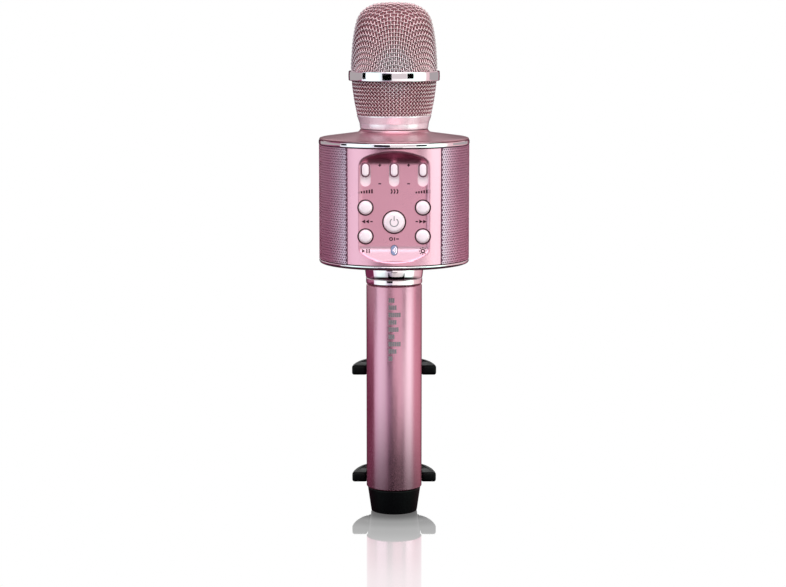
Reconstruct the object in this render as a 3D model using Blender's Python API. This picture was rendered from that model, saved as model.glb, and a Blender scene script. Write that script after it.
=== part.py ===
"""Wireless karaoke microphone with a speaker drum and a sprung phone clamp.

Built from the base up around the Z axis: end cap, handle, neck ring, speaker drum, head.
The controls face -Y. Sizes are in metres; the MM factor keeps them readable.
"""

import math

import bmesh
import bpy
from mathutils import Matrix, Vector

for old in list(bpy.data.objects):
    bpy.data.objects.remove(old, do_unlink=True)

# ---------------------------------------------------------------- driving sizes
MM = 0.001
GAP = 0.3 * MM  # clearance between touching pieces
STEPS = 26  # facets around a round piece
BUTTON_STEPS = 22  # facets around a button and its hole

HANDLE_R = 14.85 * MM
HANDLE_LENGTH = 110.5 * MM
TUBE_WALL = 1.6 * MM
CAP_HEIGHT = 13.6 * MM
CAP_BASE_R = 12.3 * MM
NECK_HEIGHT = 10.9 * MM
CELL_R = 9.2 * MM
CELL_LENGTH = 65.0 * MM

DRUM_R = 39.9 * MM
LOW_TRIM_HEIGHT = 2.5 * MM
PANEL_HEIGHT = 60.4 * MM
TOP_TRIM_HEIGHT = 2.9 * MM
DOME_RISE = 5.4 * MM
SHELL = 1.6 * MM
GRILLE_WALL = 0.9 * MM

COLLAR_HEIGHT = 7.2 * MM
LOWER_GRILLE_HEIGHT = 17.8 * MM
BAND_HEIGHT = 5.1 * MM
UPPER_GRILLE_HEIGHT = 36.0 * MM
HEAD_R = 22.85 * MM
BAND_LIP = 1.3 * MM  # how far the band stands out from the mesh
BAND_R = HEAD_R + BAND_LIP
COLLAR_R = 19.9 * MM
HEAD_NECK_R = 18.15 * MM
MESH_WALL = 0.8 * MM

KNOB_TRAVEL = 0.08 * PANEL_HEIGHT
BUTTON_R = 0.068 * PANEL_HEIGHT
POWER_R = 0.101 * PANEL_HEIGHT

JAW_REACH = 23.1 * MM  # half the width across the phone fingers
CLAMP_BOTTOM = 12.1 * MM
CLAMP_TOP = 76.8 * MM
FINGER_HEIGHT = 5.3 * MM

# ---------------------------------------------------------------- heights and planes
Z_HANDLE = CAP_HEIGHT
Z_NECK = Z_HANDLE + HANDLE_LENGTH
Z_DRUM = Z_NECK + NECK_HEIGHT + GAP
Z_PANEL = Z_DRUM + LOW_TRIM_HEIGHT
Z_PANEL_TOP = Z_PANEL + PANEL_HEIGHT
Z_DOME = Z_PANEL_TOP + TOP_TRIM_HEIGHT
Z_COLLAR = Z_DOME + DOME_RISE
Z_MESH = Z_COLLAR + COLLAR_HEIGHT + GAP
Z_BAND = Z_MESH + LOWER_GRILLE_HEIGHT
Z_UPPER = Z_BAND + BAND_HEIGHT

FLOOR_Y = -0.872 * DRUM_R  # front face of the flat floor in the control recess
FLOOR_BACK = FLOOR_Y + 2.0 * MM
COLUMN_X = 0.371 * DRUM_R
PANEL_HALF = 0.614 * DRUM_R
PANEL_ANGLE = math.asin(PANEL_HALF / DRUM_R)
SPINE_ANGLE = math.radians(16)
SPEAKER_R = 0.475 * DRUM_R
SCREW_CIRCLE = 0.64 * DRUM_R
SPEAKER_Z = Z_PANEL + 0.5 * PANEL_HEIGHT
BAFFLE_X = 0.727 * DRUM_R


def up_panel(share):
    """A height on the control panel, as a share of its own height."""
    return Z_PANEL + share * PANEL_HEIGHT


# ---------------------------------------------------------------- helpers
def material(name, colour, rough, metal):
    made = bpy.data.materials.new(name)
    made.use_nodes = True
    shader = made.node_tree.nodes["Principled BSDF"]
    shader.inputs["Base Color"].default_value = (*colour, 1)
    shader.inputs["Roughness"].default_value = rough
    shader.inputs["Metallic"].default_value = metal
    made.diffuse_color = (*colour, 1)
    return made


LOOKS = {
    "rose": ((0.72, 0.42, 0.46), 0.32, 0.75),
    "chrome": ((0.85, 0.72, 0.72), 0.08, 1.0),
    "steel": ((0.62, 0.60, 0.61), 0.3, 1.0),
    "mauve": ((0.36, 0.16, 0.24), 0.5, 0.6),
    "gloss": ((0.92, 0.78, 0.80), 0.15, 0.0),
    "black": ((0.02, 0.02, 0.02), 0.4, 0.0),
    "rubber": ((0.03, 0.03, 0.03), 0.85, 0.0),
    "foam": ((0.55, 0.28, 0.33), 0.95, 0.0),
    "board": ((0.02, 0.17, 0.08), 0.5, 0.0),
    "part": ((0.08, 0.08, 0.09), 0.45, 0.0),
    "cone": ((0.12, 0.11, 0.11), 0.8, 0.0),
    "white": ((0.85, 0.85, 0.83), 0.5, 0.0),
    "cell": ((0.08, 0.25, 0.55), 0.35, 0.0),
    "lens": ((0.05, 0.12, 0.75), 0.15, 0.0),
}


def node(name, bm, look):
    """Links one closed body with its own material and smooth shading on its round faces."""
    bmesh.ops.recalc_face_normals(bm, faces=bm.faces)
    mesh = bpy.data.meshes.new(name)
    bm.to_mesh(mesh)
    bm.free()
    mesh.polygons.foreach_set("use_smooth", [True] * len(mesh.polygons))
    mesh.set_sharp_from_angle(angle=math.radians(32))
    obj = bpy.data.objects.new(name, mesh)
    bpy.context.scene.collection.objects.link(obj)
    obj.data.materials.append(material(name, *LOOKS[look]))
    return obj


AXES = {
    "+Z": Matrix.Identity(4),
    "-Y": Matrix.Rotation(math.pi / 2, 4, "X"),
    "+Y": Matrix.Rotation(-math.pi / 2, 4, "X"),
    "+X": Matrix.Rotation(math.pi / 2, 4, "Y"),
    "-X": Matrix.Rotation(-math.pi / 2, 4, "Y"),
}


def turned(name, profile, look="part", axis="+Z", at=(0, 0, 0), sector=None, steps=STEPS):
    """Revolves a closed (radius, height) outline. A sector (first, last) is measured from -Y towards +X."""
    first, last = sector or (0.0, 2 * math.pi)
    whole = sector is None
    count = steps if whole else max(3, math.ceil(steps * (last - first) / (2 * math.pi)))
    place = Matrix.Translation(Vector(at)) @ AXES[axis]
    bm = bmesh.new()
    on_axis = {}
    rings = []
    for k in range(count if whole else count + 1):
        angle = first + (last - first) * k / count
        ring = []
        for i, (r, z) in enumerate(profile):
            if r < 1e-7:
                if i not in on_axis:
                    on_axis[i] = bm.verts.new(place @ Vector((0, 0, z)))
                ring.append(on_axis[i])
            else:
                spot = Vector((r * math.sin(angle), -r * math.cos(angle), z))
                ring.append(bm.verts.new(place @ spot))
        rings.append(ring)
    size = len(profile)
    for k in range(count):
        ring, following = rings[k], rings[(k + 1) % len(rings)]
        for i in range(size):
            j = (i + 1) % size
            corners = [ring[i], ring[j], following[j], following[i]]
            corners = list(dict.fromkeys(corners))
            if len(corners) > 2:
                bm.faces.new(corners)
    if not whole:
        bm.faces.new(rings[0])
        bm.faces.new(reversed(rings[-1]))
    return node(name, bm, look)


def extruded(name, outline, low, high, plane="XZ", look="part"):
    """Extrudes a flat outline along the axis its plane leaves out."""
    spots = {
        "XY": lambda a, b, h: (a, b, h),
        "XZ": lambda a, b, h: (a, h, b),
        "YZ": lambda a, b, h: (h, a, b),
    }[plane]
    bm = bmesh.new()
    near = [bm.verts.new(spots(a, b, low)) for a, b in outline]
    far = [bm.verts.new(spots(a, b, high)) for a, b in outline]
    bm.faces.new(near)
    bm.faces.new(reversed(far))
    for i in range(len(outline)):
        j = (i + 1) % len(outline)
        bm.faces.new([near[i], far[i], far[j], near[j]])
    return node(name, bm, look)


def block(name, x, y, z, look="part"):
    outline = [(x[0], z[0]), (x[1], z[0]), (x[1], z[1]), (x[0], z[1])]
    return extruded(name, outline, y[0], y[1], "XZ", look)


def pill(x, z, width, height, corner=None, steps=5):
    """A rounded rectangle outline round (x, z)."""
    r = min(width, height) / 2 if corner is None else corner
    points = []
    for quarter, (sx, sz) in enumerate([(1, 1), (-1, 1), (-1, -1), (1, -1)]):
        cx, cz = x + sx * (width / 2 - r), z + sz * (height / 2 - r)
        for k in range(steps + 1):
            angle = math.pi / 2 * (quarter + k / steps)
            spot = (cx + r * math.cos(angle), cz + r * math.sin(angle))
            if not points or math.dist(points[-1], spot) > 1e-6:
                points.append(spot)
    if math.dist(points[0], points[-1]) < 1e-6:
        points.pop()
    return points


def combine(target, tool, operation):
    modifier = target.modifiers.new(operation.lower() + "_" + tool.name, "BOOLEAN")
    modifier.object = tool
    modifier.operation = operation
    modifier.solver = "EXACT"
    tool.hide_render = True
    tool.display_type = "WIRE"
    return target


def cut(target, tool):
    return combine(target, tool, "DIFFERENCE")


def join(target, tool):
    return combine(target, tool, "UNION")


def set_origin(obj, spot):
    """Moves the object's origin to a world point and leaves its shape in place."""
    obj.data.transform(Matrix.Translation(-Vector(spot)))
    obj.location = spot
    return obj


def coil(name, radius, wire, low, high, turns, look="steel", side=5):
    bm = bmesh.new()
    count = int(turns * 10)
    rings = []
    for k in range(count + 1):
        angle = 2 * math.pi * turns * k / count
        z = low + wire + (high - low - 2 * wire) * k / count
        out = Vector((math.cos(angle), math.sin(angle), 0))
        ring = []
        for i in range(side):
            turn = 2 * math.pi * i / side
            away = out * (wire * math.cos(turn)) + Vector((0, 0, wire * math.sin(turn)))
            ring.append(bm.verts.new(out * radius + Vector((0, 0, z)) + away))
        rings.append(ring)
    for ring, following in zip(rings, rings[1:]):
        for i in range(side):
            j = (i + 1) % side
            bm.faces.new([ring[i], ring[j], following[j], following[i]])
    bm.faces.new(rings[0])
    bm.faces.new(reversed(rings[-1]))
    return node(name, bm, look)


# ---------------------------------------------------------------- handle
TUBE_IN = HANDLE_R - TUBE_WALL
SPIGOT_R = TUBE_IN - GAP
SPIGOT_IN = SPIGOT_R - SHELL
CAP_TOP_R = HANDLE_R - 0.45 * MM

turned(
    "end_cap",
    [
        (0, 0), (CAP_BASE_R - 0.9 * MM, 0), (CAP_BASE_R - 0.2 * MM, 0.25 * MM),
        (CAP_BASE_R + 0.1 * MM, 0.9 * MM), (CAP_TOP_R - 0.1 * MM, CAP_HEIGHT - 0.9 * MM),
        (CAP_TOP_R - 0.3 * MM, CAP_HEIGHT - GAP), (SPIGOT_R, CAP_HEIGHT - GAP),
        (SPIGOT_R, CAP_HEIGHT + 8 * MM), (SPIGOT_IN, CAP_HEIGHT + 8 * MM),
        (SPIGOT_IN - 1.2 * MM, 4 * MM), (0, 4 * MM),
    ],
    "black",
)
turned(
    "handle_tube",
    [
        (HANDLE_R - 0.3 * MM, Z_HANDLE), (HANDLE_R, Z_HANDLE + 0.3 * MM),
        (HANDLE_R, Z_NECK - GAP - 0.3 * MM), (HANDLE_R - 0.3 * MM, Z_NECK - GAP),
        (TUBE_IN, Z_NECK - GAP), (TUBE_IN, Z_HANDLE),
    ],
    "rose",
    steps=28,
)
NECK_OUT = HANDLE_R + 0.75 * MM
COVER_HOLE = SPIGOT_R + 0.35 * MM
turned(
    "lower_neck",
    [
        (NECK_OUT - 0.3 * MM, Z_NECK + NECK_HEIGHT), (NECK_OUT, Z_NECK + NECK_HEIGHT - 0.3 * MM),
        (NECK_OUT, Z_NECK + 7.4 * MM), (HANDLE_R + 0.3 * MM, Z_NECK + 3.3 * MM),
        (HANDLE_R + 0.15 * MM, Z_NECK + 3.0 * MM), (HANDLE_R + 0.15 * MM, Z_NECK + 0.3 * MM),
        (HANDLE_R - 0.1 * MM, Z_NECK), (SPIGOT_R, Z_NECK), (SPIGOT_R, Z_NECK - 8 * MM),
        (SPIGOT_IN, Z_NECK - 8 * MM), (SPIGOT_IN, Z_DRUM + 7.4 * MM),
        (SPIGOT_R, Z_DRUM + 7.4 * MM), (SPIGOT_R, Z_NECK + NECK_HEIGHT),
    ],
    "chrome",
)
turned(
    "neck_nut",
    [
        (SPIGOT_R + GAP, Z_DRUM + 4.4 * MM), (SPIGOT_R + 4 * MM, Z_DRUM + 4.4 * MM),
        (SPIGOT_R + 4 * MM, Z_DRUM + 6.8 * MM), (SPIGOT_R + GAP, Z_DRUM + 6.8 * MM),
    ],
    "steel",
    steps=24,
)

# Battery sledge inside the handle, with a window at the front.
CELL_LOW = Z_HANDLE + 26 * MM
SLEDGE_LOW = Z_HANDLE + 14 * MM
SLEDGE_HIGH = CELL_LOW + CELL_LENGTH + 5 * MM
sledge = turned(
    "battery_carrier",
    [
        (0, SLEDGE_LOW), (SPIGOT_R, SLEDGE_LOW), (SPIGOT_R, SLEDGE_HIGH),
        (CELL_R + GAP, SLEDGE_HIGH), (CELL_R + GAP, SLEDGE_LOW + 2 * MM), (0, SLEDGE_LOW + 2 * MM),
    ],
    "part",
)
cut(sledge, block(
    "cut_sledge", (-0.62 * CELL_R, 0.62 * CELL_R), (-HANDLE_R, 0),
    (SLEDGE_LOW + 6 * MM, SLEDGE_HIGH - 5 * MM),
))
turned(
    "battery_cell",
    [
        (0, CELL_LOW), (CELL_R - 0.5 * MM, CELL_LOW), (CELL_R, CELL_LOW + 0.5 * MM),
        (CELL_R, CELL_LOW + CELL_LENGTH - 1.6 * MM), (CELL_R - 0.6 * MM, CELL_LOW + CELL_LENGTH - MM),
        (3 * MM, CELL_LOW + CELL_LENGTH - MM), (3 * MM, CELL_LOW + CELL_LENGTH),
        (0, CELL_LOW + CELL_LENGTH),
    ],
    "cell",
    steps=28,
)
coil("battery_spring", 0.55 * CELL_R, 0.4 * MM, SLEDGE_LOW + 2 * MM + GAP, CELL_LOW - GAP, 4)

# ---------------------------------------------------------------- speaker drum
INNER_R = DRUM_R - 3.1 * MM
turned(
    "bottom_trim",
    [
        (DRUM_R - 2.7 * MM, Z_DRUM), (DRUM_R - 1.4 * MM, Z_DRUM),
        (DRUM_R - 0.5 * MM, Z_DRUM + 0.45 * MM), (DRUM_R, Z_DRUM + 1.3 * MM),
        (DRUM_R, Z_PANEL - GAP), (DRUM_R - 2.7 * MM, Z_PANEL - GAP),
    ],
    "chrome",
    steps=28,
)
cover = turned(
    "drum_bottom_cover",
    [
        (COVER_HOLE, Z_DRUM), (DRUM_R - 3.0 * MM, Z_DRUM),
        (DRUM_R - 3.0 * MM, Z_DRUM + 2.0 * MM), (COVER_HOLE, Z_DRUM + 2.0 * MM),
    ],
    "rose",
)
trim_top = Z_DOME - 0.05 * MM
turned(
    "top_trim",
    [
        (DRUM_R - 2.7 * MM, Z_PANEL_TOP + GAP), (DRUM_R, Z_PANEL_TOP + GAP),
        (DRUM_R + 0.1 * MM, Z_PANEL_TOP + 1.2 * MM), (DRUM_R - 0.1 * MM, trim_top - 0.3 * MM),
        (DRUM_R - 0.5 * MM, trim_top), (DRUM_R - 2.7 * MM, trim_top),
    ],
    "chrome",
    steps=28,
)
SKIRT_R = INNER_R
CHASSIS_TOP = Z_PANEL_TOP + 0.6 * MM
turned(
    "drum_top_cover",
    [
        (HEAD_NECK_R, Z_COLLAR - 0.2 * MM), (HEAD_NECK_R + 0.35 * MM, Z_COLLAR - 0.9 * MM),
        (HEAD_NECK_R + 1.25 * MM, Z_COLLAR - 1.6 * MM), (HEAD_NECK_R + 2.9 * MM, Z_COLLAR - 2.1 * MM),
        (0.76 * DRUM_R, Z_DOME + 0.38 * DOME_RISE), (DRUM_R - 1.6 * MM, Z_DOME + 0.17 * DOME_RISE),
        (DRUM_R - 0.4 * MM, Z_DOME + 0.09 * DOME_RISE), (DRUM_R - 0.1 * MM, Z_DOME + GAP),
        (SKIRT_R, Z_DOME + GAP), (SKIRT_R, CHASSIS_TOP + GAP),
        (SKIRT_R - 1.4 * MM, CHASSIS_TOP + GAP), (SKIRT_R - 1.4 * MM, Z_DOME - 0.6 * MM),
        (0.76 * DRUM_R, Z_DOME + 0.38 * DOME_RISE - SHELL), (HEAD_NECK_R + 2.9 * MM, Z_COLLAR - 4.0 * MM),
        (HEAD_NECK_R - 2.2 * MM, Z_COLLAR - 4.0 * MM), (HEAD_NECK_R - 2.2 * MM, Z_COLLAR - 0.2 * MM),
    ],
    "rose",
    steps=28,
)

# Front control panel: a slice of the cylinder whose recess has a flat floor and two sloping ends.
PANEL_IN = DRUM_R - SHELL
turn = math.acos(-FLOOR_BACK / PANEL_IN)
outline = []
ARC = 14
for k in range(ARC + 1):
    angle = PANEL_ANGLE * (2 * k / ARC - 1)
    outline.append((DRUM_R * math.sin(angle), -DRUM_R * math.cos(angle)))
for side in (1, -1):
    ends = (PANEL_ANGLE, turn) if side > 0 else (turn, PANEL_ANGLE)
    for k in range(3):
        angle = side * (ends[0] + (ends[1] - ends[0]) * k / 2)
        outline.append((PANEL_IN * math.sin(angle), -PANEL_IN * math.cos(angle)))
panel = extruded("front_panel", outline, Z_PANEL, Z_PANEL_TOP, "XY", "rose")
RECESS_HALF = 0.501 * DRUM_R
RECESS_LOW, RECESS_HIGH = up_panel(0.026), up_panel(0.980)
RECESS_CORNER = 8 * MM


def recess_tool(name):
    """The space of the recess: a flat floor, two sloping ends and round corners."""
    side_view = [
        (FLOOR_Y, up_panel(0.135)), (-DRUM_R, RECESS_LOW), (-DRUM_R - 2 * MM, up_panel(-0.02)),
        (-DRUM_R - 2 * MM, up_panel(1.02)), (-DRUM_R, RECESS_HIGH), (FLOOR_Y, up_panel(0.889)),
    ]
    tool = extruded(name, side_view, -RECESS_HALF - MM, RECESS_HALF + MM, "YZ")
    middle, height = (RECESS_LOW + RECESS_HIGH) / 2, RECESS_HIGH - RECESS_LOW
    front_view = pill(0, middle, 2 * RECESS_HALF, height, RECESS_CORNER)
    rounded = extruded(name + "_corners", front_view, -DRUM_R - 3 * MM, FLOOR_Y + MM)
    return combine(tool, rounded, "INTERSECT")


cut(panel, recess_tool("cut_recess"))

SLOT_WIDTH = 5.4 * MM
SLOT_LOW, SLOT_HIGH = up_panel(0.674), up_panel(0.885)
KNOB_HEIGHT = SLOT_HIGH - SLOT_LOW - KNOB_TRAVEL - 0.1 * MM
KNOB_Z = SLOT_HIGH - KNOB_HEIGHT / 2 - 0.1 * MM
CONTROL_BACK = FLOOR_BACK + GAP
BOARD_Y = FLOOR_BACK + 2.8 * MM

board = block(
    "main_board", (-0.52 * DRUM_R, 0.52 * DRUM_R), (BOARD_Y, BOARD_Y + 1.6 * MM),
    (up_panel(0.06), up_panel(0.945)), "board",
)
COLUMNS = {"mic": -COLUMN_X, "echo": 0.0, "volume": COLUMN_X}
for use, x in COLUMNS.items():
    slot = pill(x, (SLOT_LOW + SLOT_HIGH) / 2, SLOT_WIDTH, SLOT_HIGH - SLOT_LOW)
    cut(panel, extruded("cut_slot_" + use, slot, FLOOR_Y - 3 * MM, FLOOR_Y + 8 * MM))
    # The pill sticks out of the slot; a wider skirt behind the floor keeps it in and covers the slot.
    cap = pill(x, KNOB_Z, SLOT_WIDTH - 0.6 * MM, KNOB_HEIGHT)
    knob = extruded("slider_" + use, cap, FLOOR_Y - 1.5 * MM, CONTROL_BACK + 0.3 * MM, "XZ", "gloss")
    skirt_low = SLOT_LOW - 0.5 * MM
    skirt_high = SLOT_HIGH + KNOB_TRAVEL + 0.3 * MM
    skirt = pill(x, (skirt_low + skirt_high) / 2, SLOT_WIDTH + 2 * MM, skirt_high - skirt_low, 1 * MM, 2)
    join(knob, extruded("skirt_" + use, skirt, CONTROL_BACK, CONTROL_BACK + 0.6 * MM))
    stem = block(
        "stem_" + use, (x - 0.5 * MM, x + 0.5 * MM), (CONTROL_BACK + 0.4 * MM, CONTROL_BACK + 1.4 * MM),
        (KNOB_Z - 1.2 * MM, KNOB_Z + 1.2 * MM),
    )
    join(knob, stem)
    nose = pill(x, KNOB_Z, SLOT_WIDTH - 1.8 * MM, KNOB_HEIGHT - 2.5 * MM)
    join(knob, extruded("nose_" + use, nose, FLOOR_Y - 2.1 * MM, FLOOR_Y))
    set_origin(knob, (x, FLOOR_Y, KNOB_Z))
    pot = block(
        "slide_pot_" + use, (x - 3.5 * MM, x + 3.5 * MM), (CONTROL_BACK + 0.9 * MM, BOARD_Y - GAP),
        (SLOT_LOW - 1.5 * MM, SLOT_HIGH + 1.5 * MM), "part",
    )
    cut(pot, block(
        "cut_pot_" + use, (x - 0.9 * MM, x + 0.9 * MM), (CONTROL_BACK, BOARD_Y + MM),
        (KNOB_Z - KNOB_TRAVEL - 1.8 * MM, KNOB_Z + 1.8 * MM),
    ))

LIP = 0.55 * MM  # how far a button spreads behind its hole
BUTTONS = {
    "previous": (-COLUMN_X, up_panel(0.495), BUTTON_R),
    "next": (COLUMN_X, up_panel(0.495), BUTTON_R),
    "play": (-COLUMN_X, up_panel(0.248), BUTTON_R),
    "light": (COLUMN_X, up_panel(0.248), BUTTON_R),
    "power": (0.0, up_panel(0.371), POWER_R),
}
for use, (x, z, r) in BUTTONS.items():
    hole = turned("cut_hole_" + use, [(0, 0), (r + 0.25 * MM, 0), (r + 0.25 * MM, 9 * MM), (0, 9 * MM)],
                  axis="-Y", at=(x, FLOOR_Y + 5 * MM, z), steps=BUTTON_STEPS)
    cut(panel, hole)
    back, face = -(CONTROL_BACK + 0.8 * MM - FLOOR_Y), 1.5 * MM
    button = turned(
        "button_" + use,
        [
            (0, back - 0.2 * MM), (1.3 * MM, back - 0.2 * MM), (1.3 * MM, back), (r + LIP, back),
            (r + LIP, back + 0.8 * MM), (r, back + 0.8 * MM), (r, face - 0.5 * MM),
            (r - 0.5 * MM, face), (0, face + 0.25 * MM),
        ],
        "gloss", "-Y", (x, FLOOR_Y, z), steps=BUTTON_STEPS,
    )
    set_origin(button, (x, FLOOR_Y, z))
    switch = block(
        "switch_" + use, (x - 2.1 * MM, x + 2.1 * MM), (BOARD_Y - 0.65 * MM, BOARD_Y + 0.4 * MM),
        (z - 2.1 * MM, z + 2.1 * MM),
    )
    join(board, switch)

LENS_Z = up_panel(0.131)
lens_hole = pill(0, LENS_Z, 3.9 * MM, 5.6 * MM, steps=4)
cut(panel, extruded("cut_lens", lens_hole, FLOOR_Y - 3 * MM, FLOOR_Y + 8 * MM))
# The lens fills its hole and is cut flush with the recess, which curves out behind its lower half.
lens = extruded("status_lens", pill(0, LENS_Z, 3.4 * MM, 5.1 * MM, steps=4),
                -DRUM_R, CONTROL_BACK + 0.4 * MM, "XZ", "lens")
cut(lens, recess_tool("cut_lens_front"))
join(lens, extruded("lens_flange", pill(0, LENS_Z, 5.2 * MM, 6.8 * MM, MM, 2),
                    CONTROL_BACK, CONTROL_BACK + 0.8 * MM))
block("radio_module", (-9 * MM, 9 * MM), (BOARD_Y + 1.6 * MM + GAP, BOARD_Y + 4.4 * MM),
      (up_panel(0.62), up_panel(0.85)), "steel")
block("amplifier", (-6 * MM, 6 * MM), (BOARD_Y + 1.6 * MM + GAP, BOARD_Y + 5 * MM),
      (up_panel(0.22), up_panel(0.38)), "part")

# Side grilles: thin sheet wrapped from the panel's seam round to the rear spine.
SEAM = 0.35 * MM / DRUM_R
for side, name in ((1, "grille_right"), (-1, "grille_left")):
    angles = sorted((side * (PANEL_ANGLE + SEAM), side * (math.pi - SPINE_ANGLE - SEAM)))
    turned(
        name,
        [
            (DRUM_R - GRILLE_WALL, Z_PANEL), (DRUM_R, Z_PANEL),
            (DRUM_R, Z_PANEL_TOP), (DRUM_R - GRILLE_WALL, Z_PANEL_TOP),
        ],
        "mauve", sector=angles, steps=72,
    )

# Rear spine with the sockets.
spine = turned(
    "rear_panel",
    [(PANEL_IN, Z_PANEL), (DRUM_R, Z_PANEL), (DRUM_R, Z_PANEL_TOP), (PANEL_IN, Z_PANEL_TOP)],
    "rose", sector=(math.pi - SPINE_ANGLE, math.pi + SPINE_ANGLE), steps=96,
)
CHARGE_Z, CARD_Z, AUX_Z = up_panel(0.20), up_panel(0.34), up_panel(0.48)
SOCKET_Y = DRUM_R - 5.2 * MM
cut(spine, extruded("cut_charge", pill(0, CHARGE_Z, 9.6 * MM, 3.8 * MM), SOCKET_Y, DRUM_R + MM))
cut(spine, extruded("cut_card", pill(0, CARD_Z, 12.4 * MM, 2.2 * MM, 0.3 * MM, 1), SOCKET_Y, DRUM_R + MM))
cut(spine, turned("cut_aux", [(0, 0), (3.1 * MM, 0), (3.1 * MM, 8 * MM), (0, 8 * MM)],
                  axis="+Y", at=(0, SOCKET_Y, AUX_Z), steps=20))
charge = extruded("charge_socket", pill(0, CHARGE_Z, 9.0 * MM, 3.2 * MM), SOCKET_Y, DRUM_R - 0.6 * MM,
                  "XZ", "steel")
cut(charge, extruded("cut_charge_mouth", pill(0, CHARGE_Z, 8.3 * MM, 2.5 * MM), SOCKET_Y + 1.5 * MM,
                     DRUM_R + MM))
card = block("card_socket", (-5.8 * MM, 5.8 * MM), (SOCKET_Y, DRUM_R - 1.2 * MM),
             (CARD_Z - 0.8 * MM, CARD_Z + 0.8 * MM), "steel")
cut(card, block("cut_card_mouth", (-5.2 * MM, 5.2 * MM), (SOCKET_Y + 1.5 * MM, DRUM_R + MM),
                (CARD_Z - 0.35 * MM, CARD_Z + 0.35 * MM)))
turned("aux_socket", [(1.8 * MM, 0), (2.8 * MM, 0), (2.8 * MM, 4.5 * MM), (1.8 * MM, 4.5 * MM)],
       "part", "+Y", (0, SOCKET_Y, AUX_Z), steps=20)
block("port_board", (-8 * MM, 8 * MM), (SOCKET_Y - GAP - 1.6 * MM, SOCKET_Y - GAP),
      (up_panel(0.12), up_panel(0.56)), "board")

# Chassis: two ring plates, two flat baffles for the speakers and a rear wall, all one moulding.
CHASSIS_Z = Z_DRUM + 2.3 * MM
REAR_Y = SOCKET_Y - 4.5 * MM
chassis = turned(
    "drum_chassis",
    [
        (COVER_HOLE, CHASSIS_Z), (INNER_R, CHASSIS_Z), (INNER_R, CHASSIS_Z + 1.8 * MM),
        (COVER_HOLE, CHASSIS_Z + 1.8 * MM),
    ],
    "part",
)
# Screws that hold the bottom cover to the chassis.
for k in range(3):
    angle = math.radians(47 + 120 * k)
    x, y = SCREW_CIRCLE * math.sin(angle), -SCREW_CIRCLE * math.cos(angle)
    for target, label in ((cover, "cover"), (chassis, "chassis")):
        tool = turned(f"cut_screw_{label}_{k}", [(0, 0), (1.6 * MM, 0), (1.6 * MM, 6 * MM), (0, 6 * MM)],
                      at=(x, y, Z_DRUM - MM), steps=12)
        cut(target, tool)
    seat = turned(f"cut_seat_{k}", [(0, 0), (2.9 * MM, 0), (2.9 * MM, 2 * MM), (0, 2 * MM)],
                  at=(x, y, Z_DRUM - MM), steps=16)
    cut(cover, seat)
    turned(
        f"cover_screw_{k + 1}",
        [
            (0, 0), (2.4 * MM, 0), (2.4 * MM, 0.7 * MM), (1.25 * MM, 0.7 * MM), (1.25 * MM, 3.8 * MM),
            (0, 3.8 * MM),
        ],
        "steel", at=(x, y, Z_DRUM), steps=14,
    )

lid = turned(
    "chassis_lid",
    [
        (0.5 * DRUM_R, CHASSIS_TOP - 1.6 * MM), (INNER_R, CHASSIS_TOP - 1.6 * MM),
        (INNER_R, CHASSIS_TOP), (0.5 * DRUM_R, CHASSIS_TOP),
    ],
)
half = math.sqrt((INNER_R - 0.8 * MM) ** 2 - (BAFFLE_X + 1.8 * MM) ** 2)
for side, name in ((1, "right"), (-1, "left")):
    xs = sorted((side * BAFFLE_X, side * (BAFFLE_X + 1.8 * MM)))
    baffle = block("baffle_" + name, xs, (-half, half), (CHASSIS_Z + 0.6 * MM, CHASSIS_TOP - 0.6 * MM))
    opening = turned("cut_baffle_" + name,
                     [(0, 0), (SPEAKER_R - 1.6 * MM, 0), (SPEAKER_R - 1.6 * MM, 6 * MM), (0, 6 * MM)],
                     axis="+X" if side > 0 else "-X", at=(side * (BAFFLE_X - 2 * MM), 0, SPEAKER_Z), steps=36)
    cut(baffle, opening)
    join(chassis, baffle)
rear_half = math.sqrt((INNER_R - 0.8 * MM) ** 2 - (REAR_Y + 1.6 * MM) ** 2)
rear = block("chassis_rear", (-rear_half, rear_half), (REAR_Y, REAR_Y + 1.6 * MM),
             (CHASSIS_Z + 0.6 * MM, CHASSIS_TOP - 0.6 * MM))
join(chassis, rear)
join(chassis, lid)
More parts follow.
